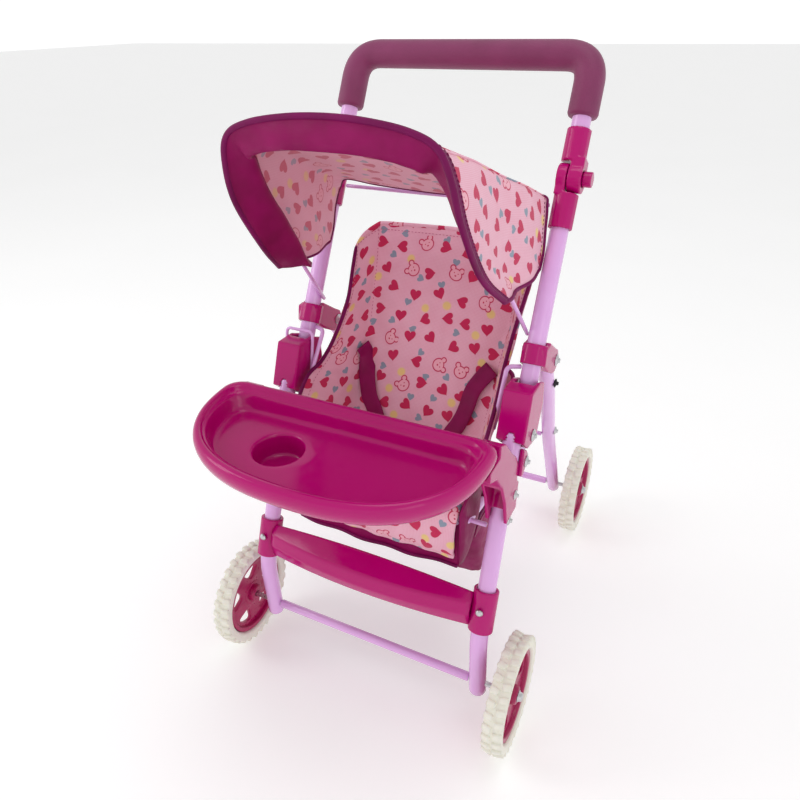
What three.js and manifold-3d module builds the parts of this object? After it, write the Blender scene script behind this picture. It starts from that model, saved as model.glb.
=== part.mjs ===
// Folding doll stroller: tube frame, fabric seat with canopy, snack tray, footrest and four wheels.
// Millimetres. +X is the doll's left-hand side seen from the front, -Y is the front, +Z is up.
// The design frame has y = 0 on the front axle; the group is shifted so that the origin is the
// middle of the whole object's footprint, on the floor.
import * as THREE from "three";
import { mergeVertices } from "three/addons/utils/BufferGeometryUtils.js";
import Module from "manifold-3d";

const wasm = await Module();
wasm.setup();

// ---- driving dimensions ----
const ORIGIN_Y = 130; // middle of the footprint, behind the front axle
const GAP = 0.35; // clearance between pieces that touch
const TUBE_R = 8;
const TUBE_BORE_R = 6.8;
const TUBE_SIDES = 12;
const SIDE_X = 113; // plane of the front legs and the push tubes

const WHEEL_R = 54;
const TYRE_WIDTH = 19;
const TYRE_INNER_R = 42;
const HUB_BORE_R = 2.9;
const AXLE_R = 2.5;
const FRONT_WHEEL_X = 143.7;
const REAR_WHEEL_X = 124;
const REAR_AXLE_Y = 337;

const LEG_TOP = [56, 292]; // y, z of the front leg's upper end
const LEG_BEND = [-5.5, 113];
const LEG_FOOT_Z = 41;
const FOLD_PIVOT = [72, 283];
const PUSH_SLOPE = 0.5; // dy per dz of the push tube
const PUSH_AXIS_Y = 94; // y of the push tube's axis at PUSH_AXIS_Z
const PUSH_AXIS_Z = 327;
const PUSH_TUBE_TOP_Z = 466;
const KNOB_Z = 481;
const HANDLE_BAR_Z = 575;
const GRIP_R = 13;

const LEG_PIVOT = [137, 326]; // rear leg's pivot on the push tube's clamp
const REAR_LEG_X = [114, 110, 100, 94]; // from its pivot down to the axle
const REAR_LEG_BEND = [255, 170];

const RAIL_X = 86;
const RAIL_R = 4;
const RAIL_PIVOT = [30, 212];
const RAIL_REAR = [240, 183];

const TRAY_HALF_WIDTH = 124;
const TRAY_REAR_Y = -11;
const TRAY_DEPTH = 119.4;
const TRAY_RIM_Z = 323;
const TRAY_TILT = THREE.MathUtils.degToRad(3.3);
const TRAY_HEIGHT = 21;
const CUP = { x: -42, y: -66, r: 20.5, depth: 20 };

const CANOPY_PIVOT = [112, 358];
const FABRIC = 2.4;

const pushY = (z) => PUSH_AXIS_Y + PUSH_SLOPE * (z - PUSH_AXIS_Z);
const KNOB = [pushY(KNOB_Z), KNOB_Z];

// ---- materials ----
const finish = (color, roughness, metalness = 0) => ({ color, roughness, metalness });
const MAGENTA = finish(0xb8006e, 0.22);
const CRIMSON = finish(0x8c0040, 0.35);
const LAVENDER = finish(0xd8a5e0, 0.3, 0.2);
const PLUM_FOAM = finish(0x87305f, 0.8);
const CREAM = finish(0xe6e4d2, 0.7);
const STEEL = finish(0xb5b5b8, 0.3, 1);
const PINK_FABRIC = finish(0xf0b0c4, 0.9);
const PLUM_FABRIC = finish(0xa01468, 0.6);

const stroller = new THREE.Group();

// ---- solids ----
function toSolid(geometry) {
  const plain = geometry.index ? geometry.toNonIndexed() : geometry.clone();
  plain.deleteAttribute("normal");
  plain.deleteAttribute("uv");
  const merged = mergeVertices(plain, 1e-3);
  const mesh = new wasm.Mesh({
    numProp: 3,
    vertProperties: new Float32Array(merged.attributes.position.array),
    triVerts: new Uint32Array(merged.index.array),
  });
  return new wasm.Manifold(mesh);
}

function toGeometry(solid) {
  const mesh = solid.getMesh();
  const geometry = new THREE.BufferGeometry();
  geometry.setAttribute("position", new THREE.BufferAttribute(new Float32Array(mesh.vertProperties), 3));
  geometry.setIndex(new THREE.BufferAttribute(new Uint32Array(mesh.triVerts), 1));
  geometry.computeVertexNormals();
  return geometry;
}

function add(name, solid, look) {
  const mesh = new THREE.Mesh(toGeometry(solid), new THREE.MeshStandardMaterial(look));
  mesh.name = name;
  stroller.add(mesh);
}

function addPair(name, make, look) {
  for (const [side, word] of [[-1, "left"], [1, "right"]]) add(`${name}_${word}`, make(side), look);
}

// Cylinder along X from x0 to x1 around (y, z).
function barX(radius, x0, x1, [y, z], sides = 12) {
  const geometry = new THREE.CylinderGeometry(radius, radius, Math.abs(x1 - x0), sides);
  geometry.rotateZ(Math.PI / 2).translate((x0 + x1) / 2, y, z);
  return toSolid(geometry);
}

function block(x0, x1, y0, y1, z0, z1) {
  const geometry = new THREE.BoxGeometry(Math.abs(x1 - x0), y1 - y0, z1 - z0);
  geometry.translate((x0 + x1) / 2, (y0 + y1) / 2, (z0 + z1) / 2);
  return toSolid(geometry);
}

// A side-view outline of [y, z] points, extruded across X from x0 to x1.
function plate(outline, x0, x1) {
  const shape = new THREE.Shape(outline.map(([y, z]) => new THREE.Vector2(y, z)));
  const geometry = new THREE.ExtrudeGeometry(shape, { depth: Math.abs(x1 - x0), bevelEnabled: false });
  const matrix = new THREE.Matrix4().makeBasis(
    new THREE.Vector3(0, 1, 0), new THREE.Vector3(0, 0, 1), new THREE.Vector3(1, 0, 0));
  geometry.applyMatrix4(matrix).translate(Math.min(x0, x1), 0, 0);
  return toSolid(geometry);
}

// A path through corner points whose corners are rounded, with one extrusion step per station.
class Route extends THREE.Curve {
  constructor(points, radius = 0, bendSteps = 4) {
    super();
    const corners = points.map((p) => new THREE.Vector3(...p));
    this.stations = [corners[0]];
    for (let i = 1; i < corners.length - 1; i += 1) {
      const back = corners[i - 1].clone().sub(corners[i]);
      const ahead = corners[i + 1].clone().sub(corners[i]);
      const reach = Math.min(radius, back.length() * 0.45, ahead.length() * 0.45);
      const arc = new THREE.QuadraticBezierCurve3(
        corners[i].clone().addScaledVector(back.normalize(), reach), corners[i],
        corners[i].clone().addScaledVector(ahead.normalize(), reach));
      this.stations.push(...arc.getPoints(bendSteps));
    }
    this.stations.push(corners.at(-1));
  }
  get steps() { return this.stations.length - 1; }
  getPointAt(u) { return this.stations[Math.round(u * this.steps)].clone(); }
  getPoint(u) { return this.getPointAt(u); }
  getTangentAt(u) {
    const i = Math.round(u * this.steps);
    const before = this.stations[Math.max(i - 1, 0)];
    const after = this.stations[Math.min(i + 1, this.steps)];
    return after.clone().sub(before).normalize();
  }
  getTangent(u) { return this.getTangentAt(u); }
}

function circle(radius, sides) {
  const shape = new THREE.Shape();
  for (let i = 0; i < sides; i += 1) {
    const angle = (2 * Math.PI * i) / sides;
    const point = [radius * Math.cos(angle), radius * Math.sin(angle)];
    if (i) shape.lineTo(...point);
    else shape.moveTo(...point);
  }
  shape.closePath();
  return shape;
}

// A tube, or a rod where bore is 0, along a route.
function pipe(route, radius, bore = 0, sides = TUBE_SIDES) {
  const shape = circle(radius, sides);
  if (bore) shape.holes.push(circle(bore, sides));
  const geometry = new THREE.ExtrudeGeometry(shape, { steps: route.steps, extrudePath: route, bevelEnabled: false });
  return outward(toSolid(geometry));
}

function outward(solid) {
  if (solid.volume() > 0) return solid;
  return solid.scale([-1, 1, 1]).scale([-1, 1, 1]);
}

// A closed mesh through matching rings of points; ring[0] and ring[last] are capped.
function loft(rings) {
  const count = rings[0].length;
  const positions = rings.flat(2);
  const index = [];
  for (let r = 0; r < rings.length - 1; r += 1) {
    for (let i = 0; i < count; i += 1) {
      const a = r * count + i;
      const b = r * count + ((i + 1) % count);
      index.push(a, b, b + count, a, b + count, a + count);
    }
  }
  const last = (rings.length - 1) * count;
  for (let i = 1; i < count - 1; i += 1) {
    index.push(0, i + 1, i, last, last + i, last + i + 1);
  }
  return closedMesh(positions, index);
}

function closedMesh(positions, index) {
  const geometry = new THREE.BufferGeometry();
  geometry.setAttribute("position", new THREE.Float32BufferAttribute(positions, 3));
  geometry.setIndex(index);
  let volume = 0;
  const corner = (k) => new THREE.Vector3().fromArray(positions, 3 * index[k]);
  for (let k = 0; k < index.length; k += 3) {
    volume += corner(k).dot(corner(k + 1).cross(corner(k + 2)));
  }
  if (volume < 0) geometry.setIndex(index.map((_, k) => index[k - (k % 3) + [0, 2, 1][k % 3]]));
  return toSolid(geometry);
}

// A fabric sheet of even thickness: surface(u, v) gives its outer side for u and v from 0 to 1.
function sheet(surface, across, along, thickness) {
  const outer = [];
  const inner = [];
  const step = 1e-3;
  for (let j = 0; j <= along; j += 1) {
    for (let i = 0; i <= across; i += 1) {
      const [u, v] = [i / across, j / along];
      const at = (du, dv) => new THREE.Vector3(...surface(
        THREE.MathUtils.clamp(u + du, 0, 1), THREE.MathUtils.clamp(v + dv, 0, 1)));
      const du = at(step, 0).sub(at(-step, 0));
      const dv = at(0, step).sub(at(0, -step));
      const normal = du.cross(dv).normalize();
      const p = at(0, 0);
      outer.push(...p.toArray());
      inner.push(...p.addScaledVector(normal, -thickness).toArray());
    }
  }
  const row = across + 1;
  const total = row * (along + 1);
  const index = [];
  const quad = (a, b, c, d) => index.push(a, b, c, a, c, d);
  for (let j = 0; j < along; j += 1) {
    for (let i = 0; i < across; i += 1) {
      const a = j * row + i;
      quad(a, a + 1, a + row + 1, a + row);
      quad(total + a, total + a + row, total + a + row + 1, total + a + 1);
    }
  }
  for (let i = 0; i < across; i += 1) {
    const far = along * row + i;
    quad(i, total + i, total + i + 1, i + 1);
    quad(far + 1, total + far + 1, total + far, far);
  }
  for (let j = 0; j < along; j += 1) {
    const near = j * row;
    const far = near + across;
    quad(near + row, total + near + row, total + near, near);
    quad(far, total + far, total + far + row, far + row);
  }
  return closedMesh([...outer, ...inner], index);
}

// A smooth curve through points, read at t from 0 to 1.
function through(points) {
  const curve = new THREE.CatmullRomCurve3(points.map((p) => new THREE.Vector3(...p)), false, "centripetal");
  return (t) => curve.getPoint(t).toArray();
}

const mix = (a, b, t) => a.map((value, i) => value + (b[i] - value) * t);

// ---- front legs, with the through axle's cross holes ----
const legRoute = (side, beyond = 0) => new Route([
  [side * SIDE_X, LEG_TOP[0] + beyond / 3, LEG_TOP[1] + beyond],
  [side * SIDE_X, ...LEG_BEND],
  [side * SIDE_X, 0, WHEEL_R],
  [side * SIDE_X, 1, LEG_FOOT_Z],
], 16, 2);
const legHoles = barX(HUB_BORE_R, -140, 140, [0, WHEEL_R], 12);
addPair("front_leg", (side) => pipe(legRoute(side), TUBE_R, TUBE_BORE_R).subtract(legHoles), LAVENDER);
const legClearance = (side) => pipe(legRoute(side, GAP), TUBE_R + GAP);

// ---- push tubes ----
const pushRoute = (side, z0, z1) => new Route([[side * SIDE_X, pushY(z0), z0], [side * SIDE_X, pushY(z1), z1]]);
const PUSH_FOOT_Z = FOLD_PIVOT[1] - 4.5;
addPair("push_tube", (side) => pipe(pushRoute(side, PUSH_FOOT_Z, PUSH_TUBE_TOP_Z), TUBE_R, TUBE_BORE_R)
  .subtract(barX(3, side * 90, side * 130, FOLD_PIVOT, 12)), LAVENDER);
const pushClearance = (side) => pipe(pushRoute(side, 240, 520), TUBE_R + GAP);

// ---- fold brackets on the leg tops: a channel, open to the rear, that the push tube swings out of ----
const foldBracket = (side) => {
  const inner = side * (SIDE_X - 12.5);
  const outer = side * (SIDE_X + 12.5);
  const body = plate([[60, 328], [83, 328], [98, 322], [100, 300], [85, 272], [60, 276], [46, 288]], inner, outer);
  const slot = plate([[83.3, 340], [64, 296], [58, 270], [54, 262], [140, 262], [140, 340]],
    side * (SIDE_X - 8.6), side * (SIDE_X + 8.6));
  const pin = barX(3.3, side * 90, side * 130, FOLD_PIVOT, 12);
  return body.subtract(slot).subtract(legClearance(side)).subtract(pin);
};
addPair("fold_bracket", foldBracket, MAGENTA);
addPair("fold_pin", (side) => {
  const shank = barX(2.6, side * (SIDE_X - 15), side * (SIDE_X + 13.2), FOLD_PIVOT, 12);
  return shank.add(barX(5, side * (SIDE_X + 12.9), side * (SIDE_X + 15.4), FOLD_PIVOT, 12));
}, STEEL);

// ---- leg clamps under the brackets ----
const legClamp = (side) => {
  const outline = [[50.5, 281], [57, 275.8], [60, 275], [66, 268], [63, 259], [52, 252], [46.2, 256], [49, 272]];
  const body = plate(outline, side * (SIDE_X - 10.5), side * (SIDE_X + 12));
  return body.subtract(legClearance(side)).subtract(barX(2.9, side * 98, side * 130, [59, 264], 12));
};
addPair("leg_clamp", legClamp, MAGENTA);
addPair("leg_clamp_bolt", (side) => barX(2.5, side * (SIDE_X - 12), side * (SIDE_X + 12.4), [59, 264], 12)
  .add(barX(4.4, side * (SIDE_X + 12.3), side * (SIDE_X + 14.6), [59, 264], 12)), STEEL);

// ---- snack tray: D-shaped basin with a rolled rim and a cup well ----
function trayOutline(inset) {
  const points = [];
  const [width, depth] = [TRAY_HALF_WIDTH - inset, TRAY_DEPTH - inset * 2];
  const corner = 10;
  for (let i = 0; i <= 24; i += 1) {
    const angle = Math.PI + (Math.PI * i) / 24;
    const round = (value) => Math.sign(value) * Math.abs(value) ** (2 / 2.4);
    points.push([width * round(Math.cos(angle)), -inset - corner + (depth - corner) * round(Math.sin(angle))]);
  }
  for (let i = 1; i < 6; i += 1) {
    const angle = (Math.PI * i) / 6;
    const side = i < 3 ? 1 : -1;
    const turn = side > 0 ? angle : Math.PI - angle;
    if (i !== 3) points.push([side * (width - corner + corner * Math.cos(turn)), -inset - corner + corner * Math.sin(turn)]);
  }
  return points;
}

function trayLayer(inset, z0, z1, insetTop = inset) {
  const ring = (amount, z) => trayOutline(amount).map(([x, y]) => [x, y, z]);
  return loft([ring(inset, z0), ring(insetTop, z1)]);
}

const onFrame = (solid) => {
  const degrees = THREE.MathUtils.radToDeg(TRAY_TILT);
  return solid.rotate([degrees, 0, 0]).translate([0, TRAY_REAR_Y, TRAY_RIM_Z]);
};
const upright = (radius, z0, z1) => {
  const geometry = new THREE.CylinderGeometry(radius, radius, z1 - z0, 20);
  geometry.rotateX(Math.PI / 2).translate(CUP.x, CUP.y - TRAY_REAR_Y, (z0 + z1) / 2);
  return toSolid(geometry);
};
const trayHull = trayLayer(5, -TRAY_HEIGHT, -8, 0).add(trayLayer(0, -8.001, -3)).add(trayLayer(0, -3.001, 0, 3));
const trayFloor = -TRAY_HEIGHT + 2.6;
const tray = trayHull.add(upright(CUP.r + 2.2, trayFloor - CUP.depth - 2.2, trayFloor))
  .subtract(trayLayer(17, trayFloor, 1, 11))
  .subtract(upright(CUP.r, trayFloor - CUP.depth, trayFloor + 1));
add("tray", onFrame(tray), MAGENTA);

// ---- tray brackets: arched arms from the legs up to the tray's rear corners ----
const trayBracket = (side) => {
  const outline = [[-10.2, 318], [4, 312], [26, 290], [37, 281], [44.5, 270], [45.5, 252], [51, 248], [48, 222], [22, 222],
    [14, 250], [2, 272], [-14, 290], [-32, 297.5], [-32, 307], [-10.2, 307]];
  const body = plate(outline, side * (SIDE_X - 9.5), side * (SIDE_X + 9.5));
  const arch = plate([[-40, 210], [29, 210], [31, 252], [24, 266], [10, 272], [-2, 262], [-40, 260]],
    side * (SIDE_X - 6.5), side * (SIDE_X + 6.5));
  const underTray = onFrame(trayLayer(5 - GAP, -TRAY_HEIGHT - GAP, -8, -GAP).add(trayLayer(-GAP, -8.001, 4)));
  const collar = pipe(new Route([[side * SIDE_X, 40.5, 247], [side * SIDE_X, 34.5, 229.5]]), TUBE_R + 1.4);
  return body.subtract(arch).add(collar).subtract(legClearance(side)).subtract(underTray)
    .subtract(barX(2.3, side * 100, side * 127, [41, 240], 12));
};
addPair("tray_bracket", trayBracket, MAGENTA);
addPair("tray_bracket_screw", (side) => barX(2, side * (SIDE_X + 8.6), side * (SIDE_X + 9.9), [41, 240], 12)
  .add(barX(3.6, side * (SIDE_X + 9.8), side * (SIDE_X + 11.6), [41, 240], 12)), STEEL);

// ---- footrest: crowned board between two sleeves on the legs ----
const SLEEVE = { top: 157, bottom: 121, wall: 3 };
const footrest = () => {
  const legY = (z) => LEG_BEND[0] + ((z - LEG_BEND[1]) * (LEG_TOP[0] - LEG_BEND[0])) / (LEG_TOP[1] - LEG_BEND[1]);
  const rings = [];
  for (let i = 0; i <= 8; i += 1) {
    const s = -1 + i / 4;
    const bulge = 1 - s * s;
    const x = s * (SIDE_X - 4);
    const top = [3 - 5 * bulge, 156 + 9 * bulge];
    const nose = [-9 - 14 * bulge, 141 + 3 * bulge];
    const lip = [-6 - 13 * bulge, 124 + 6 * bulge];
    rings.push([
      [x, ...top], [x, nose[0] + 2, nose[1] + 10], [x, ...nose], [x, ...lip],
      [x, lip[0] + 5, lip[1]], [x, nose[0] + 6, nose[1] - 1], [x, top[0] + 3, top[1] - 4],
    ]);
  }
  let body = loft(rings);
  for (const side of [-1, 1]) {
    const sleeve = new Route([[side * SIDE_X, legY(SLEEVE.top), SLEEVE.top], [side * SIDE_X, legY(SLEEVE.bottom), SLEEVE.bottom]]);
    body = body.add(pipe(sleeve, TUBE_R + SLEEVE.wall));
  }
  for (const side of [-1, 1]) body = body.subtract(legClearance(side)).subtract(footScrewHole(side));
  return body;
};
const footScrewPath = (side, from, to) => new Route([[side * SIDE_X, from, 145], [side * SIDE_X, to, 145]]);
const footScrewHole = (side) => pipe(footScrewPath(side, 0, -14), 2.2, 0, 10);
add("footrest", footrest(), MAGENTA);
addPair("footrest_screw", (side) => pipe(footScrewPath(side, -4.2, -7.6), 1.8, 0, 8)
  .add(pipe(footScrewPath(side, -7.5, -9.2), 3.4, 0, 12)), STEEL);

// ---- axles, spacer tubes and end caps ----
const CAP = { r: 4.6, length: 4 };
function axleSet(word, y, wheelX, spacerHalf) {
  const end = wheelX + 10.4;
  const centre = [y, WHEEL_R];
  add(`${word}_axle`, barX(AXLE_R, -end, end, centre), STEEL);
  add(`${word}_axle_tube`, barX(4.2, -spacerHalf, spacerHalf, centre).subtract(barX(HUB_BORE_R, -200, 200, centre)), LAVENDER);
  addPair(`${word}_axle_cap`, (side) => barX(CAP.r, side * (wheelX + 7.8), side * (wheelX + 7.8 + CAP.length), centre)
    .subtract(barX(HUB_BORE_R, side * wheelX, side * (end + GAP), centre)), STEEL);
}
axleSet("front", 0, FRONT_WHEEL_X, SIDE_X - TUBE_R - GAP);
axleSet("rear", REAR_AXLE_Y, REAR_WHEEL_X, REAR_LEG_X[3] - TUBE_R - 0.8);

// ---- wheels: foam tyre on a hub with five holes ----
function ringX(profile, segments, [x, y]) {
  const points = profile.map(([r, across]) => new THREE.Vector2(r, across));
  const geometry = new THREE.LatheGeometry([...points, points[0].clone()], segments);
  geometry.rotateZ(-Math.PI / 2).translate(x, y, WHEEL_R);
  return outward(toSolid(geometry));
}
const half = TYRE_WIDTH / 2;
const tyreProfile = [
  [TYRE_INNER_R, -half + 3], [TYRE_INNER_R + 5, -half], [WHEEL_R - 4, -half], [WHEEL_R, -half + 3.5],
  [WHEEL_R, half - 3.5], [WHEEL_R - 4, half], [TYRE_INNER_R + 5, half], [TYRE_INNER_R, half - 3],
];
function hub([x, y]) {
  const centre = [y, WHEEL_R];
  let body = barX(TYRE_INNER_R - GAP, x - 6, x + 6, centre, 28)
    .subtract(barX(TYRE_INNER_R - 4, x - 7, x - 2.2, centre, 28))
    .subtract(barX(TYRE_INNER_R - 4, x + 2.2, x + 7, centre, 28))
    .add(barX(8.5, x - 7.4, x + 7.4, centre, 16));
  for (let i = 0; i < 5; i += 1) {
    const angle = Math.PI / 2 + (2 * Math.PI * i) / 5;
    body = body.subtract(barX(8.2, x - 7, x + 7, [y + 24 * Math.cos(angle), WHEEL_R + 24 * Math.sin(angle)], 8));
  }
  return body.subtract(barX(HUB_BORE_R, x - 20, x + 20, centre, 12));
}
for (const [word, y, wheelX] of [["front", 0, FRONT_WHEEL_X], ["rear", REAR_AXLE_Y, REAR_WHEEL_X]]) {
  addPair(`${word}_tyre`, (side) => ringX(tyreProfile, 28, [side * wheelX, y]), CREAM);
  addPair(`${word}_hub`, (side) => hub([side * wheelX, y]), CRIMSON);
}

// ---- rear legs and their clamps on the push tubes ----
const rearLegRoute = (side, lift = 0) => new Route([
  [side * REAR_LEG_X[0], LEG_PIVOT[0] - 5 - lift, LEG_PIVOT[1] + 7 + lift],
  [side * REAR_LEG_X[1], 179, 275],
  [side * REAR_LEG_X[2], ...REAR_LEG_BEND],
  [side * REAR_LEG_X[3], REAR_AXLE_Y, WHEEL_R],
  [side * (REAR_LEG_X[3] - 0.6), REAR_AXLE_Y + 9, WHEEL_R - 12],
], 14, 2);
addPair("rear_leg", (side) => pipe(rearLegRoute(side), TUBE_R - 0.6, TUBE_BORE_R - 0.6)
  .subtract(barX(3, side * 60, side * 140, LEG_PIVOT, 12))
  .subtract(barX(HUB_BORE_R, side * 60, side * 140, [REAR_AXLE_Y, WHEEL_R], 12)), LAVENDER);
const CLAMP_Z = 345;
const legHanger = (side) => {
  const lug = plate([[98, 352], [112, 353], [134, 339], [143, 334], [147, 325], [143, 317], [135, 314], [128, 316],
    [110, 326], [96, 337]], side * (SIDE_X - 10.2), side * (SIDE_X + 11.8));
  const band = pipe(pushRoute(side, CLAMP_Z - 9, CLAMP_Z + 7), TUBE_R + 3.2);
  const pocket = plate([[122.5, 345], [119, 322], [126, 300], [175, 300], [175, 345]],
    side * (REAR_LEG_X[0] - 9.4), side * (REAR_LEG_X[0] + 8.4));
  return band.add(lug.subtract(pocket)).subtract(pushClearance(side))
    .subtract(barX(2.9, side * 90, side * 140, LEG_PIVOT, 12));
};
addPair("leg_hanger", legHanger, MAGENTA);
addPair("leg_hanger_bolt", (side) => barX(2.5, side * (SIDE_X - 12), side * (SIDE_X + 12.2), LEG_PIVOT, 12)
  .add(barX(4.6, side * (SIDE_X + 12.1), side * (SIDE_X + 14.4), LEG_PIVOT, 12)), STEEL);

// ---- handle hinges: lower and upper halves round the tube ends, with a push button each ----
const tubeAxis = new THREE.Vector3(0, PUSH_SLOPE, 1).normalize();
const alongTube = (distance, behind = 0) => [
  KNOB[0] + tubeAxis.y * distance + tubeAxis.z * behind,
  KNOB[1] + tubeAxis.z * distance - tubeAxis.y * behind,
];
const HINGE = { r: 12.5, inner: 9.5, outer: 11.5 };
const sleeveRoute = (side, from, to) => new Route([[side * SIDE_X, ...alongTube(from)], [side * SIDE_X, ...alongTube(to)]]);
const hingeBore = (side) => barX(3.4, side * 90, side * 140, KNOB, 12);
addPair("hinge_lower", (side) => {
  const disc = barX(HINGE.r, side * (SIDE_X - 1), side * (SIDE_X - HINGE.inner), KNOB, 24);
  const neck = plate([alongTube(-16, -9.5), alongTube(-16, 9.5), alongTube(0, 9.5), alongTube(0, -9.5)],
    side * (SIDE_X - 1), side * (SIDE_X - HINGE.inner));
  const keepOut = barX(HINGE.r + 0.8, side * (SIDE_X - 0.6), side * (SIDE_X + 30), KNOB, 24);
  return disc.add(neck).add(pipe(sleeveRoute(side, -44, -13.6), TUBE_R + 2.6).subtract(keepOut))
    .subtract(pipe(pushRoute(side, 400, PUSH_TUBE_TOP_Z + 0.5), TUBE_R + GAP)).subtract(hingeBore(side));
}, MAGENTA);
const handleFoot = 15;
const HANDLE_BAR_Y = pushY(HANDLE_BAR_Z);
const handleRoute = (from) => new Route([
  [-SIDE_X, ...alongTube(from)], [-SIDE_X, HANDLE_BAR_Y, HANDLE_BAR_Z],
  [SIDE_X, HANDLE_BAR_Y, HANDLE_BAR_Z], [SIDE_X, ...alongTube(from)],
], 23, 4);
addPair("hinge_upper", (side) => {
  const disc = barX(HINGE.r, side * (SIDE_X - 0.4), side * (SIDE_X + HINGE.outer), KNOB, 24);
  const neck = plate([alongTube(0, -9.5), alongTube(0, 9.5), alongTube(17, 9.5), alongTube(17, -9.5)],
    side * (SIDE_X - 0.4), side * (SIDE_X + HINGE.outer));
  const keepOut = barX(HINGE.r + 0.8, side * (SIDE_X - 30), side * (SIDE_X - 0.8), KNOB, 24);
  const bore = pipe(sleeveRoute(side, handleFoot - 0.5, 70), TUBE_R + GAP);
  return disc.add(neck).add(pipe(sleeveRoute(side, 13.6, 42), TUBE_R + 2.6).subtract(keepOut))
    .subtract(bore).subtract(hingeBore(side))
    .subtract(barX(7.2, side * (SIDE_X + HINGE.outer - 4), side * (SIDE_X + 30), KNOB, 20));
}, MAGENTA);
addPair("hinge_button", (side) => barX(6.7, side * (SIDE_X + HINGE.outer - 0.2), side * (SIDE_X + HINGE.outer + 7.5), KNOB, 20)
  .add(barX(3, side * (SIDE_X - HINGE.inner + 1), side * (SIDE_X + HINGE.outer), KNOB, 12)), MAGENTA);

// ---- handle: U-shaped bar with a foam grip over its bends ----
add("handle_bar", pipe(handleRoute(handleFoot), TUBE_R, TUBE_BORE_R), LAVENDER);
add("handle_grip", pipe(handleRoute(52), GRIP_R, TUBE_R + GAP), PLUM_FOAM);

// ---- seat rail, hung basket and the rods in the seat's side hems ----
const railRoute = new Route([
  [-RAIL_X, ...RAIL_REAR], [-RAIL_X, RAIL_PIVOT[0] - 8, RAIL_PIVOT[1] - 2],
  [RAIL_X, RAIL_PIVOT[0] - 8, RAIL_PIVOT[1] - 2], [RAIL_X, ...RAIL_REAR],
], 14, 4);
const railPin = (side, place) => barX(2.2, side * (RAIL_X - 1), side * (SIDE_X - TUBE_R - 2), place, 10);
let rail = pipe(railRoute, RAIL_R, 0, 10);
for (const side of [-1, 1]) rail = rail.add(railPin(side, [RAIL_PIVOT[0] + 0, RAIL_PIVOT[1] - 3]));
add("seat_rail", rail, LAVENDER);
addPair("hem_rod", (side) => pipe(new Route([
  [side * 94, 60, 287], [side * 93, 92, 333], [side * (SIDE_X - TUBE_R - 2 * GAP), 97, 333],
], 5, 2), 2, 0, 8), LAVENDER);

// ---- lock bail: a wire loop over the left fold bracket ----
const BAIL_PIVOT = [76, 300];
add("lock_bail", pipe(new Route([
  [-(SIDE_X - 14.6), BAIL_PIVOT[0] - 1, BAIL_PIVOT[1] - 4], [-(SIDE_X - 14.6), 81, 334.2],
  [-(SIDE_X + 14.8), 81, 334.2], [-(SIDE_X + 14.8), BAIL_PIVOT[0] - 1, BAIL_PIVOT[1] - 4],
], 5, 3), 1.5, 0, 8), LAVENDER);

// ---- canopy: one arched sheet with two side flaps, on a wire bow and a rear rod ----
const canopyFront = through([
  [-102.7, 41, 412], [-94.2, 8, 440], [-91, -26, 485], [-87, -38, 518], [-79, -42, 537], [-60, -42.5, 546],
  [-30, -43, 551], [0, -43, 552.5], [30, -43, 551], [60, -42.5, 546], [79, -42, 537], [87, -38, 518],
  [91, -26, 485], [94.2, 8, 440], [102.7, 41, 412],
]);
const canopyRear = through([
  [-104, 130, 411], [-104, 137, 424], [-103, 141, 444], [-101, 148, 460], [-96, 153, 468], [-66, 155, 465],
  [-33, 156, 463], [0, 156, 462], [33, 156, 463], [66, 155, 465], [96, 153, 468], [101, 148, 460],
  [103, 141, 444], [104, 137, 424], [104, 130, 411],
]);
const canopySurface = (u, v) => {
  const p = mix(canopyFront(u), canopyRear(u), v);
  p[2] += 5 * Math.sin(Math.PI * v) * Math.sin(Math.PI * u) ** 2;
  return p;
};
add("canopy", sheet(canopySurface, 24, 4, FABRIC), PINK_FABRIC);
const bowAt = (side, reach, x) => [side * x, CANOPY_PIVOT[0] - reach * 0.655, CANOPY_PIVOT[1] + reach * 0.756];
add("canopy_bow", pipe(new Route([
  bowAt(-1, -1, 103), bowAt(-1, 60, 98), bowAt(-1, 150, 85.5), bowAt(-1, 212, 82), bowAt(-1, 232, 62),
  bowAt(-1, 239, 25), bowAt(1, 239, 25), bowAt(1, 232, 62), bowAt(1, 212, 82), bowAt(1, 150, 85.5),
  bowAt(1, 60, 98), bowAt(1, -1, 103),
], 9, 2), 1.8, 0, 8), LAVENDER);
const CANOPY_ROD = [160.5, 459];
add("canopy_rod", barX(1.8, -(SIDE_X - TUBE_R - 4.5), SIDE_X - TUBE_R - 4.5, CANOPY_ROD, 8), LAVENDER);

// ---- seat: reclined back with side wings, and a bottom with a front drop ----
const wingEdge = through([
  [92, 152, 396], [89.8, 147, 380], [86.4, 135, 361], [85, 120, 340], [86, 101, 322.6], [87, 84, 306],
  [87, 72, 290], [86, 66, 278],
]);
const backCrease = through([
  [76, 182, 416], [75, 176, 392], [74, 166, 360], [72, 151, 325], [70, 133, 290], [68, 112, 252], [67, 103, 238],
  [66, 100, 234],
]);
const seatBack = (u, v) => {
  const side = u < 0.5 ? -1 : 1;
  const s = Math.abs(2 * u - 1);
  const crease = backCrease(v);
  const edge = wingEdge(v);
  const bend = 0.66;
  let p;
  if (s <= bend) {
    const t = s / bend;
    p = [crease[0] * t, crease[1] + 7 * (1 - t * t), crease[2] - 2 * (1 - t * t)];
  } else {
    const t = (s - bend) / (1 - bend);
    p = mix(crease, edge, t);
    p[0] += 4 * Math.sin(Math.PI * t) * v;
  }
  return [p[0] * side, p[1], p[2]];
};
add("seat_back", sheet((u, v) => seatBack(1 - u, v), 18, 7, 3.5), PINK_FABRIC);
const seatBottomLine = [[96, 226], [60, 221], [26, 229], [14, 224], [12.5, 200], [14.5, 178]];
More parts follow.
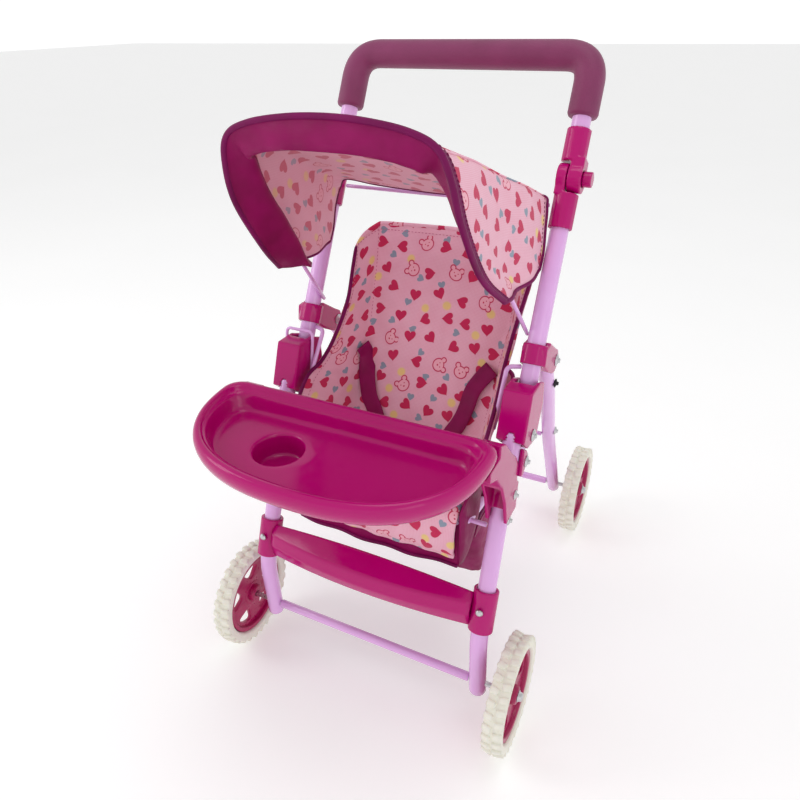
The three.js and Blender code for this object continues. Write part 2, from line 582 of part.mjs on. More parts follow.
const seatBottom = () => {
  const rings = [-78, -52, -26, 0, 26, 52, 78].map((x) => {
    const dip = 4 * (1 - (x / 78) ** 2);
    const upper = seatBottomLine.map(([y, z], i) => [x, y, z - (i < 2 ? dip : 0)]);
    const lower = seatBottomLine.map(([y, z], i) => [x, y + (i > 2 ? 4 : 0), z - (i > 2 ? 0 : 6) - (i < 2 ? dip : 0)]);
    lower[3] = [x, 18, 217];
    lower[2] = [x, 28, 222];
    return [...upper, ...lower.reverse()];
  });
  return closedLoft(rings);
};

// Loft whose end rings are not convex: each is capped by triangulating its side view.
function closedLoft(rings) {
  const count = rings[0].length;
  const index = [];
  for (let r = 0; r < rings.length - 1; r += 1) {
    for (let i = 0; i < count; i += 1) {
      const a = r * count + i;
      const b = r * count + ((i + 1) % count);
      index.push(a, b, b + count, a, b + count, a + count);
    }
  }
  const outline = rings[0].map(([, y, z]) => new THREE.Vector2(y, z));
  const last = (rings.length - 1) * count;
  for (const [a, b, c] of THREE.ShapeUtils.triangulateShape(outline, [])) {
    const flip = THREE.ShapeUtils.isClockWise(outline);
    index.push(...(flip ? [a, b, c] : [c, b, a]).map((k) => k));
    index.push(...(flip ? [c, b, a] : [a, b, c]).map((k) => k + last));
  }
  return closedMesh(rings.flat(2), index);
}
add("seat_bottom", seatBottom(), PINK_FABRIC);

// ---- basket: a shallow open bag under the seat rail ----
const basketWall = 2.2;
const bag = (grow, floor) => loft([
  [[-79 + grow, 97 + grow, floor], [79 - grow, 97 + grow, floor], [79 - grow, 146 - grow, floor], [-79 + grow, 146 - grow, floor]],
  [[-79 + grow, 62 + grow, 172], [79 - grow, 62 + grow, 172], [79 - grow, 158 - grow, 172], [-79 + grow, 158 - grow, 172]],
]);
const bagInside = bag(basketWall, 86 + basketWall).add(block(-79 + basketWall, 79 - basketWall, 62 + basketWall, 158 - basketWall, 171.9, 175));
add("basket", bag(0, 86).subtract(bagInside), PLUM_FABRIC);

stroller.position.set(0, -ORIGIN_Y, 0);

export default stroller;
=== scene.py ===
"""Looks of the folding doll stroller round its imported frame. Metres, floor at z = 0, front to -Y."""

import math

import bmesh
import bpy
import numpy as np
from mathutils import Matrix, Vector


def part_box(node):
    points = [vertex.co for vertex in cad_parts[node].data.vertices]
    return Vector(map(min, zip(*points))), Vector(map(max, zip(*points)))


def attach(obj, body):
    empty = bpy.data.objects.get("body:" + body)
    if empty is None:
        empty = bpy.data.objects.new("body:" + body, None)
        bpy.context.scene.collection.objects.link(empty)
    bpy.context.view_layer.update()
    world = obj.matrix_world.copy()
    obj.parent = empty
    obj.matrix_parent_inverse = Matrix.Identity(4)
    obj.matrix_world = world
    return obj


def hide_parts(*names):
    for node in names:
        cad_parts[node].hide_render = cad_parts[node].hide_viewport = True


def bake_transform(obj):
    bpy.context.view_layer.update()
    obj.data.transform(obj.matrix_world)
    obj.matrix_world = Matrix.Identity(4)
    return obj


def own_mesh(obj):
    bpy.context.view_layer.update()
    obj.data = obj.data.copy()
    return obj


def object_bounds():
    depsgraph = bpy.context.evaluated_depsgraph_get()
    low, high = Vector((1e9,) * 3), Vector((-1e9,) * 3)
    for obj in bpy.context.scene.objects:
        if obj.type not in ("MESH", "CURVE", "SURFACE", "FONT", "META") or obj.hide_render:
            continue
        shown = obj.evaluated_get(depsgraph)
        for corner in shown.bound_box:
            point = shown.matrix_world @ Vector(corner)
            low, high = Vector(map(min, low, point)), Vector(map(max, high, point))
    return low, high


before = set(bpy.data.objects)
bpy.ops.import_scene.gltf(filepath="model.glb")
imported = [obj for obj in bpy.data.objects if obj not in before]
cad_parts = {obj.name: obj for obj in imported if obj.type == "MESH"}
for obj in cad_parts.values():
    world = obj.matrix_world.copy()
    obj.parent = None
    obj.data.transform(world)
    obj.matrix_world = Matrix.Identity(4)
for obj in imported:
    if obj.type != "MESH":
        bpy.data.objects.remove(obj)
cad_low, cad_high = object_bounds()

# ---- camera ----
# Lengths on this stroller are taken from the middle of its front axle: millimetres to the right,
# behind the axle, and above the floor.
axle_low, axle_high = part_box("front_axle")
AXLE_Y = (axle_low.y + axle_high.y) / 2


def at(x, y, z):
    return Vector((x / 1000, AXLE_Y + y / 1000, z / 1000))


lens = bpy.data.cameras.new("camera")
lens.lens, lens.sensor_width = 32.307, 36
lens.shift_x, lens.shift_y = 0.0337, -0.0465
lens.clip_start, lens.clip_end = 0.01, 50
camera = bpy.data.objects.new("camera", lens)
bpy.context.scene.collection.objects.link(camera)
bpy.context.scene.camera = camera
turn, rise, roll = math.radians(27.97), math.radians(26.11), math.radians(-1.168)
behind = Vector((math.sin(turn) * math.cos(rise), -math.cos(turn) * math.cos(rise), math.sin(rise)))
level = Vector((math.cos(turn), math.sin(turn), 0))
upward = behind.cross(level)
right = level * math.cos(roll) + upward * math.sin(roll)
upright = upward * math.cos(roll) - level * math.sin(roll)
pose = Matrix((right, upright, behind)).transposed().to_4x4()
pose.translation = at(251.7, -455, 612.4)
camera.matrix_world = pose

# ---- studio: floor and lights ----
# A pale matt sweep under soft daylight panels, one large panel on each side and one overhead.
scene = bpy.context.scene
scene.view_settings.view_transform = "Standard"


def node(tree, kind, inputs=None, **settings):
    """One node, its settings, and its inputs from values or other nodes' outputs."""
    made = tree.nodes.new(kind)
    for key, value in settings.items():
        setattr(made, key, value)
    for key, value in (inputs or {}).items():
        if isinstance(value, bpy.types.NodeSocket):
            tree.links.new(value, made.inputs[key])
        else:
            made.inputs[key].default_value = value
    return made


def finish_called(name):
    """A new material with its tree and its Principled shader."""
    finish = bpy.data.materials.new(name)
    finish.use_nodes = True
    return finish, finish.node_tree, finish.node_tree.nodes["Principled BSDF"]


def speckle(tree, scale, detail=3.0):
    """Soft noise fixed to the object."""
    place = node(tree, "ShaderNodeTexCoord")
    settings = {"Vector": place.outputs["Object"], "Scale": scale, "Detail": detail}
    return node(tree, "ShaderNodeTexNoise", settings).outputs["Fac"]


def ranged(tree, value, low, high, start=0.3, end=0.7):
    spread = {"Value": value, "From Min": start, "From Max": end, "To Min": low, "To Max": high}
    return node(tree, "ShaderNodeMapRange", spread).outputs["Result"]


def blended(tree, share, first, second):
    mixed = node(tree, "ShaderNodeMix", data_type="RGBA")
    for socket, value in ((0, share), (6, first), (7, second)):
        if isinstance(value, bpy.types.NodeSocket):
            tree.links.new(value, mixed.inputs[socket])
        elif socket:
            mixed.inputs[socket].default_value = (*value, 1) if len(value) == 3 else value
        else:
            mixed.inputs[socket].default_value = value
    return mixed.outputs[2]


def bumped(tree, shader, height, strength, distance):
    ridge = node(tree, "ShaderNodeBump", {"Height": height, "Strength": strength, "Distance": distance})
    tree.links.new(ridge.outputs["Normal"], shader.inputs["Normal"])


def coloured(tree, shader, share, first, second):
    tree.links.new(blended(tree, share, first, second), shader.inputs["Base Color"])


def roughened(tree, shader, scale, low, high, detail=3.0):
    tree.links.new(ranged(tree, speckle(tree, scale, detail), low, high), shader.inputs["Roughness"])


sweep, sweep_tree, sweep_shader = finish_called("pale_floor")
coloured(sweep_tree, sweep_shader, speckle(sweep_tree, 3), (0.90, 0.90, 0.90), (0.94, 0.94, 0.94))
sweep_shader.inputs["Emission Color"].default_value = (1, 1, 1, 1)
sweep_shader.inputs["Emission Strength"].default_value = 0.22
sweep_shader.inputs["Roughness"].default_value = 0.8
floor_mesh = bpy.data.meshes.new("floor")
reach = 14
floor_corners = [(-reach, -reach, 0), (reach, -reach, 0), (reach, reach, 0), (-reach, reach, 0)]
floor_mesh.from_pydata(floor_corners, [], [(0, 1, 2, 3)])
floor_mesh.materials.append(sweep)
floor = bpy.data.objects.new("floor", floor_mesh)
scene.collection.objects.link(floor)

sky = bpy.data.worlds.new("room")
scene.world = sky
sky.use_nodes = True
backdrop = sky.node_tree.nodes["Background"]
direction = node(sky.node_tree, "ShaderNodeTexCoord")
height = node(sky.node_tree, "ShaderNodeSeparateXYZ", {0: direction.outputs["Generated"]})
glow = node(sky.node_tree, "ShaderNodeMapRange", {
    "Value": height.outputs[2], "From Min": 0.05, "From Max": 0.45, "To Min": 1.08, "To Max": 0.66})
sky.node_tree.links.new(glow.outputs[0], backdrop.inputs["Strength"])
backdrop.inputs["Color"].default_value = (1, 1, 1, 1)
stroller_middle = (cad_low + cad_high) / 2


def panel(name, x, y, z, width, height, power):
    light = bpy.data.lights.new(name, "AREA")
    light.shape, light.size, light.size_y, light.energy = "RECTANGLE", width, height, power
    lamp = bpy.data.objects.new(name, light)
    scene.collection.objects.link(lamp)
    lamp.location = Vector((x, y, z))
    lamp.rotation_mode = "QUATERNION"
    lamp.rotation_quaternion = (stroller_middle - lamp.location).to_track_quat("-Z", "Y")


panel("overhead", 0.2, -0.1, 1.9, 0.9, 0.9, 5)
panel("window", -1.7, -0.9, 1.3, 0.7, 1.1, 7)
panel("fill", 1.5, -1.4, 0.9, 0.8, 0.8, 2.2)

# ---- frame tubes ----
# Steel tube, 16 mm outside, bent cold and painted lavender; the ends are turned in over plugs.
SIDE = 113
TUBE = 0.008
HANDS = ((-1, "left"), (1, "right"))


def rounded_corners(points, bend, steps=8):
    """A path through corner points with every corner bent round."""
    corners = [Vector(p) for p in points]
    path = [corners[0]]
    for before, corner, after in zip(corners, corners[1:], corners[2:]):
        back, ahead = before - corner, after - corner
        reach_back = min(bend, back.length * 0.45, ahead.length * 0.45)
        start = corner + back.normalized() * reach_back
        end = corner + ahead.normalized() * reach_back
        for i in range(steps + 1):
            t = i / steps
            path.append(start * (1 - t) ** 2 + corner * (2 * t * (1 - t)) + end * t * t)
    path.append(corners[-1])
    return path


def new_piece(name, points, faces, look, cloth_points=None):
    """A smooth-shaded mesh object whose faces point outwards."""
    mesh = bpy.data.meshes.new(name)
    mesh.from_pydata([tuple(p) for p in points], [], faces)
    flat_places = cloth_points or [(p.x + 5, p.z + 5) for p in points]
    layer = mesh.uv_layers.new(name="cloth")
    for loop in mesh.loops:
        layer.data[loop.index].uv = flat_places[loop.vertex_index]
    shape = bmesh.new()
    shape.from_mesh(mesh)
    bmesh.ops.recalc_face_normals(shape, faces=shape.faces)
    shape.to_mesh(mesh)
    shape.free()
    mesh.polygons.foreach_set("use_smooth", [True] * len(mesh.polygons))
    mesh.materials.append(look)
    piece = bpy.data.objects.new(name, mesh)
    scene.collection.objects.link(piece)
    return piece


def round_bar(path, radius, sides=28, edge=0.0016):
    """Points and faces of a round bar along a path, with eased ends."""
    path = [Vector(p) for p in path]
    edge = min(edge, (radius if isinstance(radius, float) else min(radius)) * 0.4)
    radii = radius if isinstance(radius, (list, tuple)) else [radius] * len(path)
    ways = [(path[min(i + 1, len(path) - 1)] - path[max(i - 1, 0)]).normalized() for i in range(len(path))]
    across = ways[0].orthogonal().normalized()
    rings = []
    for i, (centre, way, size) in enumerate(zip(path, ways, radii)):
        across = (across - way * across.dot(way)).normalized()
        other = way.cross(across)
        if i in (0, len(path) - 1):
            sign = 1 if i == 0 else -1
            steps = [(0, size - edge), (edge * 0.3, size - edge * 0.3), (edge, size)]
            steps = steps if i == 0 else steps[::-1]
            rings += [(centre + way * (sign * inset), across, other, ring) for inset, ring in steps]
        else:
            rings.append((centre, across, other, size))
    points = []
    for centre, first, second, size in rings:
        for k in range(sides):
            angle = 2 * math.pi * k / sides
            points.append(centre + first * (size * math.cos(angle)) + second * (size * math.sin(angle)))
    faces = [
        (r * sides + k, r * sides + (k + 1) % sides, (r + 1) * sides + (k + 1) % sides, (r + 1) * sides + k)
        for r in range(len(rings) - 1) for k in range(sides)]
    last = (len(rings) - 1) * sides
    points += [rings[0][0], rings[-1][0]]
    faces += [(len(points) - 2, (k + 1) % sides, k) for k in range(sides)]
    faces += [(len(points) - 1, last + k, last + (k + 1) % sides) for k in range(sides)]
    return points, faces


def together(*parts):
    """Points and faces of several shapes as one list."""
    points, faces = [], []
    for more_points, more_faces in parts:
        faces += [tuple(i + len(points) for i in f) for f in more_faces]
        points += list(more_points)
    return points, faces


def both(name):
    return [name + "_left", name + "_right"]


def fitted(piece, body, slot_name, *nodes):
    """Fixes a piece to its body and hides the CAD nodes that it stands for; slot_name is not used."""
    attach(piece, body)
    if nodes:
        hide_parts(*nodes)


def tube_paint():
    look, tree, shader = finish_called("lavender_paint")
    cloudy = speckle(tree, 35)
    coloured(tree, shader, cloudy, (0.74, 0.38, 0.77), (0.80, 0.46, 0.84))
    roughened(tree, shader, 160, 0.22, 0.27)
    shader.inputs["Coat Weight"].default_value = 0.6
    shader.inputs["Coat Roughness"].default_value = 0.1
    bumped(tree, shader, speckle(tree, 700), 0.05, 0.0002)
    return look


LAVENDER = tube_paint()


def tubes(name, body, nodes, *bars):
    """Painted tubes that stand for CAD nodes: each bar is its corner points, bend and radius."""
    shapes = [round_bar(rounded_corners([at(*p) for p in corners], bend), radius)
              for corners, bend, radius in bars]
    fitted(new_piece(name, *together(*shapes), LAVENDER), body, "lavender_paint", *nodes)


def push_y(z):
    """How far behind the axle the push tubes are at a height."""
    return 94 + 0.5 * (z - 327)


for side, word in HANDS:
    x = side * SIDE
    tubes(f"front_leg_tube_{word}", "front_frame", [f"front_leg_{word}"],
          ([(x, 56, 292), (x, -5.5, 113), (x, 0, 54), (x, 1, 41)], 0.018, TUBE))
    tubes(f"push_tube_bar_{word}", "push_frame", [f"push_tube_{word}"],
          ([(x, push_y(279), 279), (x, push_y(466), 466)], 0, TUBE))
    tubes(f"rear_leg_tube_{word}", "rear_legs", [f"rear_leg_{word}"],
          ([(side * 114, 132, 333), (side * 110, 179, 275), (side * 100, 255, 170), (side * 94, 337, 54),
            (side * 93.4, 346, 42)], 0.016, 0.0074))

# ---- axles ----
# A 5 mm steel rod runs through each pair of legs inside a painted spacer tube.
tubes("front_axle_spacer", "front_frame", ["front_axle_tube"],
      ([(-104.6, 0, 54), (104.6, 0, 54)], 0, 0.0042))
tubes("rear_axle_spacer", "rear_legs", ["rear_axle_tube"],
      ([(-85.2, 337, 54), (85.2, 337, 54)], 0, 0.0042))


def zinc_plate():
    look, tree, shader = finish_called("zinc_steel")
    coloured(tree, shader, speckle(tree, 220), (0.50, 0.50, 0.52), (0.66, 0.66, 0.67))
    shader.inputs["Metallic"].default_value = 1
    roughened(tree, shader, 500, 0.22, 0.42)
    bumped(tree, shader, speckle(tree, 1400), 0.1, 0.0002)
    return look


ZINC = zinc_plate()
for axle in ("front_axle", "rear_axle"):
    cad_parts[axle].data.materials.clear()
    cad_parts[axle].data.materials.append(ZINC)

# ---- wheels ----
# Moulded foam tyre with two offset rows of chunky lugs, on a crimson hub with five windows and a
# round boss; a pressed steel cap holds it on the axle.
WHEEL_Z = 54
LUGS = 30


def turned(profile, centre, segments=96):
    """A closed ring or knob turned about an axis along X; the profile is radius and offset in mm."""
    points = []
    for k in range(segments):
        angle = 2 * math.pi * k / segments
        for r, across in profile:
            spoke = r / 1000
            points.append(centre + Vector((across / 1000, spoke * math.cos(angle), spoke * math.sin(angle))))
    count = len(profile)
    faces = [
        (k * count + i, k * count + (i + 1) % count,
         ((k + 1) % segments) * count + (i + 1) % count, ((k + 1) % segments) * count + i)
        for k in range(segments) for i in range(count)]
    return points, faces


def rounded_profile(corners, bend, steps=4):
    """A closed profile of radius and offset with every corner eased."""
    eased = []
    for i, (r, across) in enumerate(corners):
        before, after = Vector(corners[i - 1]), Vector(corners[(i + 1) % len(corners)])
        corner = Vector((r, across))
        back, ahead = before - corner, after - corner
        size = min(bend, back.length * 0.45, ahead.length * 0.45)
        start, end = corner + back.normalized() * size, corner + ahead.normalized() * size
        for k in range(steps + 1):
            t = k / steps
            p = start * (1 - t) ** 2 + corner * (2 * t * (1 - t)) + end * t * t
            eased.append((p.x, p.y))
    return eased


def tyre_foam():
    look, tree, shader = finish_called("cream_foam")
    coloured(tree, shader, speckle(tree, 60), (0.80, 0.78, 0.68), (0.88, 0.86, 0.77))
    shader.inputs["Roughness"].default_value = 0.62
    shader.inputs["Subsurface Weight"].default_value = 0.1
    shader.inputs["Subsurface Radius"].default_value = (0.004, 0.003, 0.002)
    bumped(tree, shader, speckle(tree, 1500), 0.25, 0.0004)
    return look


def hub_plastic():
    look, tree, shader = finish_called("crimson_plastic")
    coloured(tree, shader, speckle(tree, 25), (0.36, 0.0, 0.075), (0.44, 0.0, 0.10))
    roughened(tree, shader, 200, 0.26, 0.4)
    bumped(tree, shader, speckle(tree, 900), 0.1, 0.0002)
    return look


CREAM, CRIMSON = tyre_foam(), hub_plastic()


def piece_tree(name, sockets):
    """An empty node tree for making pieces: the tree, its named inputs, and its output."""
    tree = bpy.data.node_groups.new(name, "GeometryNodeTree")
    tree.interface.new_socket("Geometry", in_out="INPUT", socket_type="NodeSocketGeometry")
    for label, kind, value in sockets:
        socket = tree.interface.new_socket(label, in_out="INPUT", socket_type="NodeSocket" + kind)
        if value is not None:
            socket.default_value = value
    tree.interface.new_socket("Geometry", in_out="OUTPUT", socket_type="NodeSocketGeometry")
    return tree, node(tree, "NodeGroupInput").outputs, node(tree, "NodeGroupOutput")


def given_material(tree, instances, material, out):
    """Ends a tree: instances made real, in one material."""
    solid = node(tree, "GeometryNodeRealizeInstances", {"Geometry": instances})
    dressed = node(tree, "GeometryNodeSetMaterial", {"Geometry": solid.outputs[0], "Material": material})
    tree.links.new(dressed.outputs[0], out.inputs[0])


def tread_tree():
    """Lugs standing round a wheel: two rows, the second turned by half a lug."""
    tree, given, out = piece_tree("tyre_lugs", (
        ("Lugs in a row", "Int", LUGS), ("Rolling radius", "Float", 0.0505), ("Row offset", "Float", 0.0046),
        ("Lug size", "Vector", (0.0086, 0.0066, 0.0062)), ("Foam", "Material", None)))

    def sum_of(operation, *values):
        return node(tree, "ShaderNodeMath", dict(enumerate(values)), operation=operation).outputs[0]

    block = node(tree, "GeometryNodeMeshCube", {"Size": given["Lug size"]})
    eased = node(tree, "GeometryNodeSubdivisionSurface", {
        "Mesh": block.outputs["Mesh"], "Level": 2, "Edge Crease": 0.55})
    rows = node(tree, "GeometryNodeJoinGeometry")
    for row, sign in enumerate((-1, 1)):
        points = node(tree, "GeometryNodePoints", {"Count": given["Lugs in a row"]})
        index = node(tree, "GeometryNodeInputIndex")
        place_in_row = sum_of("ADD", index.outputs[0], row * 0.5)
        angle = sum_of("MULTIPLY", sum_of("DIVIDE", place_in_row, given["Lugs in a row"]), 2 * math.pi)
        place = node(tree, "ShaderNodeCombineXYZ", {
            0: sum_of("MULTIPLY", given["Row offset"], sign),
            1: sum_of("MULTIPLY", sum_of("COSINE", angle), given["Rolling radius"]),
            2: sum_of("MULTIPLY", sum_of("SINE", angle), given["Rolling radius"])})
        put = node(tree, "GeometryNodeSetPosition", {
            "Geometry": points.outputs[0], "Position": place.outputs[0]})
        turned_lug = node(tree, "ShaderNodeCombineXYZ", {0: angle, 1: 0.0, 2: sign * 0.30})
        lugs = node(tree, "GeometryNodeInstanceOnPoints", {
            "Points": put.outputs[0], "Instance": eased.outputs[0], "Rotation": turned_lug.outputs[0]})
        tree.links.new(lugs.outputs[0], rows.inputs[0])
    given_material(tree, rows.outputs[0], given["Foam"], out)
    return tree


def made_plain(name, tree, values, points=((0, 0, 0),), edges=()):
    """Runs a node tree on loose points or edges and returns the result as a plain mesh object."""
    seed = bpy.data.meshes.new(name + "_seed")
    seed.from_pydata([tuple(p) for p in points], list(edges), [])
    holder = bpy.data.objects.new(name + "_seed", seed)
    scene.collection.objects.link(holder)
    modifier = holder.modifiers.new("made", "NODES")
    modifier.node_group = tree
    names = {s.name: s.identifier for s in tree.interface.items_tree if s.in_out == "INPUT"}
    for key, value in values.items():
        modifier[names[key]] = value
    evaluated = holder.evaluated_get(bpy.context.evaluated_depsgraph_get())
    mesh = bpy.data.meshes.new_from_object(evaluated)
    mesh.name = name
    piece = bpy.data.objects.new(name, mesh)
    scene.collection.objects.link(piece)
    bpy.data.objects.remove(holder)
    mesh.polygons.foreach_set("use_smooth", [True] * len(mesh.polygons))
    return piece


TREAD = tread_tree()


def hub_disc(centre):
    """A flat disc with five rounded three-cornered windows, its edges eased."""
    flat = bpy.data.curves.new("hub_disc", "CURVE")
    flat.dimensions, flat.fill_mode = "2D", "BOTH"
    flat.extrude, flat.bevel_depth, flat.bevel_resolution = 0.0016, 0.0008, 2

    def outline(loop):
        spline = flat.splines.new("POLY")
        spline.points.add(len(loop) - 1)
        for point, (u, v) in zip(spline.points, loop):
            point.co = (u, v, 0, 1)
        spline.use_cyclic_u = True

    around = [2 * math.pi * k / 96 for k in range(96)]
    outline([(0.0385 * math.cos(angle), 0.0385 * math.sin(angle)) for angle in around])
    for window in range(5):
        middle = math.pi / 2 + 2 * math.pi * window / 5
        corners = [(15.5, 0.0), (33.5, -0.42), (35.0, 0.0), (33.5, 0.42)]
        ring = [(r * math.cos(middle + a), r * math.sin(middle + a)) for r, a in corners]
        eased = rounded_profile(ring, 6.5, 6)
        outline([(u / 1000, v / 1000) for u, v in eased])
    holder = bpy.data.objects.new("hub_disc", flat)
    scene.collection.objects.link(holder)
    mesh = bpy.data.meshes.new_from_object(holder.evaluated_get(bpy.context.evaluated_depsgraph_get()))
    points = [centre + Vector((v.co.z, v.co.x, v.co.y)) for v in mesh.vertices]
    faces = [tuple(p.vertices) for p in mesh.polygons]
    bpy.data.objects.remove(holder)
    return points, faces


def merged(piece, distance=1e-6):
    """Welds points that lie on each other."""
    shape = bmesh.new()
    shape.from_mesh(piece.data)
    bmesh.ops.remove_doubles(shape, verts=shape.verts, dist=distance)
    bmesh.ops.recalc_face_normals(shape, faces=shape.faces)
    shape.to_mesh(piece.data)
    shape.free()


def wheel(end, side, centre, axle_body):
    """One wheel and its cap; end is front or rear."""
    hand = "left" if side < 0 else "right"
    body = f"{end}_wheel_{hand}"
    tread_edge = [(42.2, 5.8), (43.5, 8.4), (50.8, 9.2), (52.0, 4)]
    tyre_profile = rounded_profile(
        [(r, -across) for r, across in tread_edge] + tread_edge[::-1], 2.2, 3)
    tyre = new_piece(f"tyre_body_{end}_{hand}", *turned(tyre_profile, centre), CREAM)
    fitted(tyre, body, "cream_foam", f"{end}_tyre_{hand}")
    lugs = made_plain(f"tyre_lugs_{end}_{hand}", TREAD, {"Foam": CREAM})
    lugs.data.transform(Matrix.Translation(centre))
    fitted(lugs, body, "cream_foam")
    rings = [turned(rounded_profile(corners, bend, steps), centre, segments) for corners, bend, steps, segments in (
        ([(37.4, -6), (41.6, -6.4), (41.6, 6.4), (37.4, 6), (36.6, 0)], 0.9, 3, 96),
        ([(2.9, -7.8), (8.0, -7.6), (9.2, -2), (9.2, 2), (8.0, 7.6), (2.9, 7.8)], 1.2, 3, 48),
        ([(9, -3.2), (13.2, -3.0), (13.6, 0), (13.2, 3.0), (9, 3.2)], 0.7, 2, 64))]
    hub = new_piece(f"wheel_hub_{end}_{hand}", *together(hub_disc(centre), *rings), CRIMSON)
    merged(hub)
    fitted(hub, body, "crimson_plastic", f"{end}_hub_{hand}")
    crown = [(0.01, 4.4), (2.6, 4.1), (4.0, 3.2), (4.4, 0.9), (5.4, 0.5), (5.4, 0), (0.01, 0)]
    crown = [(r, side * (7.9 + out)) for r, out in crown]
    cap = new_piece(f"axle_cap_dome_{end}_{hand}", *turned(crown, centre, 40), ZINC)
    merged(cap, 2e-5)
    fitted(cap, axle_body, "zinc_steel", f"{end}_axle_cap_{hand}")


for side in (-1, 1):
    wheel("front", side, at(side * 143.7, 0, WHEEL_Z), "front_frame")
    wheel("rear", side, at(side * 124, 337, WHEEL_Z), "rear_legs")

# ---- moulded brackets, clamps and hinges ----
# Injection moulded in glossy magenta plastic: the fold brackets and clamps on the leg tops, the
# arched tray brackets, the rear leg hangers, and the two halves of the handle's hinges.


def gloss_plastic():
    look, tree, shader = finish_called("magenta_plastic")
    coloured(tree, shader, speckle(tree, 14), (0.44, 0.0, 0.14), (0.50, 0.0, 0.17))
    roughened(tree, shader, 120, 0.12, 0.22, 6)
    shader.inputs["Specular IOR Level"].default_value = 0.36
    bumped(tree, shader, speckle(tree, 260), 0.04, 0.0005)
    return look


MAGENTA = gloss_plastic()


def moulded(cad_node, body, grain=0.0009):
    """The CAD shape with every edge eased, as it comes out of a mould."""
    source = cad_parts[cad_node]
    rough = bpy.data.objects.new(cad_node + "_rough", source.data.copy())
    scene.collection.objects.link(rough)
    merged(rough)
    skin = rough.modifiers.new("skin", "REMESH")
    skin.mode, skin.voxel_size = "VOXEL", grain
    ease = rough.modifiers.new("ease", "SMOOTH")
    ease.factor, ease.iterations = 0.5, 6
    mesh = bpy.data.meshes.new_from_object(rough.evaluated_get(bpy.context.evaluated_depsgraph_get()))
    bpy.data.objects.remove(rough)
    mesh.materials.clear()
    mesh.materials.append(MAGENTA)
    mesh.polygons.foreach_set("use_smooth", [True] * len(mesh.polygons))
    piece = bpy.data.objects.new("moulded_" + cad_node, mesh)
    scene.collection.objects.link(piece)
    fitted(piece, body, "magenta_plastic", cad_node)


for word in ("left", "right"):
    for part in ("fold_bracket", "leg_clamp", "tray_bracket"):
        moulded(f"{part}_{word}", "front_frame")
    moulded(f"leg_hanger_{word}", "push_frame")
    moulded(f"hinge_lower_{word}", "push_frame")
    moulded(f"hinge_upper_{word}", "handle")
    moulded(f"hinge_button_{word}", f"button_{word}", 0.0006)

# ---- rivets and bolts ----
# Domed zinc rivet heads on a washer, one at each pivot, and black heads where the rear legs are drilled.


def rivet_tree():
    """A domed head, its washer and a shank along X at every point."""
    tree, given, out = piece_tree("rivet_heads", (
        ("Head radius", "Float", 0.0045), ("Dome", "Float", 0.5), ("Shank", "Float", 0.006),
        ("Metal", "Material", None)))
    ball = node(tree, "GeometryNodeMeshUVSphere", {
        "Segments": 20, "Rings": 10, "Radius": given["Head radius"]})
    squat = node(tree, "ShaderNodeCombineXYZ", {0: given["Dome"], 1: 1.0, 2: 1.0})
    dome = node(tree, "GeometryNodeTransform", {"Geometry": ball.outputs["Mesh"], "Scale": squat.outputs[0]})
    wide = node(tree, "ShaderNodeMath", {0: given["Head radius"], 1: 1.22}, operation="MULTIPLY")
    washer = node(tree, "GeometryNodeMeshCylinder", {
        "Vertices": 24, "Radius": wide.outputs[0], "Depth": 0.0009})
    narrow = node(tree, "ShaderNodeMath", {0: given["Head radius"], 1: 0.5}, operation="MULTIPLY")
    shank = node(tree, "GeometryNodeMeshCylinder", {
        "Vertices": 16, "Radius": narrow.outputs[0], "Depth": given["Shank"]})
    ring_and_shank = node(tree, "GeometryNodeJoinGeometry")
    tree.links.new(washer.outputs["Mesh"], ring_and_shank.inputs[0])
    tree.links.new(shank.outputs["Mesh"], ring_and_shank.inputs[0])
    turned_over = node(tree, "GeometryNodeTransform", {
        "Geometry": ring_and_shank.outputs[0], "Rotation": (0, math.pi / 2, 0)})
    head = node(tree, "GeometryNodeJoinGeometry")
    tree.links.new(dome.outputs[0], head.inputs[0])
    tree.links.new(turned_over.outputs[0], head.inputs[0])
    put = node(tree, "GeometryNodeInstanceOnPoints", {
        "Points": given["Geometry"], "Instance": head.outputs[0]})
    given_material(tree, put.outputs[0], given["Metal"], out)
    return tree


RIVETS = rivet_tree()


def rivets(name, body, places, nodes=(), radius=0.0045, metal=ZINC):
    """Rivet heads at places in mm; they are zinc steel in the record whatever their finish."""
    settings = {"Head radius": radius, "Metal": metal}
    fitted(made_plain(name, RIVETS, settings, [at(*p) for p in places]), body, "zinc_steel", *nodes)


def both_sides(insides, y, z):
    """Places at both tubes, at distances inside or outside their middle lines."""
    return [(s * (SIDE + out), y, z) for s in (-1, 1) for out in insides]


rivets("fold_rivets", "front_frame", both_sides((-13, 13), 72, 283), both("fold_pin"))
rivets("clamp_bolts", "front_frame", both_sides((-11, 12.4), 59, 264), both("leg_clamp_bolt"), 0.0042)
rivets("tray_bracket_screws_heads", "front_frame", both_sides((9.8,), 41, 240),
       both("tray_bracket_screw"), 0.0034)
rivets("leg_hanger_rivets", "rear_legs", both_sides((-10.6, 12.2), 137, 326), both("leg_hanger_bolt"), 0.0044)
rivets("rail_pivot_rivets", "front_frame", both_sides((8,), 33.5, 218), (), 0.0038)
rivets("rail_end_rivets", "rear_legs", both_sides((-3.4,), 240, 190.5), (), 0.0038)


def black_steel():
    look, tree, shader = finish_called("black_steel")
    coloured(tree, shader, speckle(tree, 300), (0.015, 0.015, 0.016), (0.03, 0.03, 0.032))
    shader.inputs["Metallic"].default_value = 0.6
    roughened(tree, shader, 500, 0.3, 0.45)
    return look


rivets("leg_plug_rivets", "rear_legs", both_sides((6,), 171, 285), (), 0.0036, black_steel())


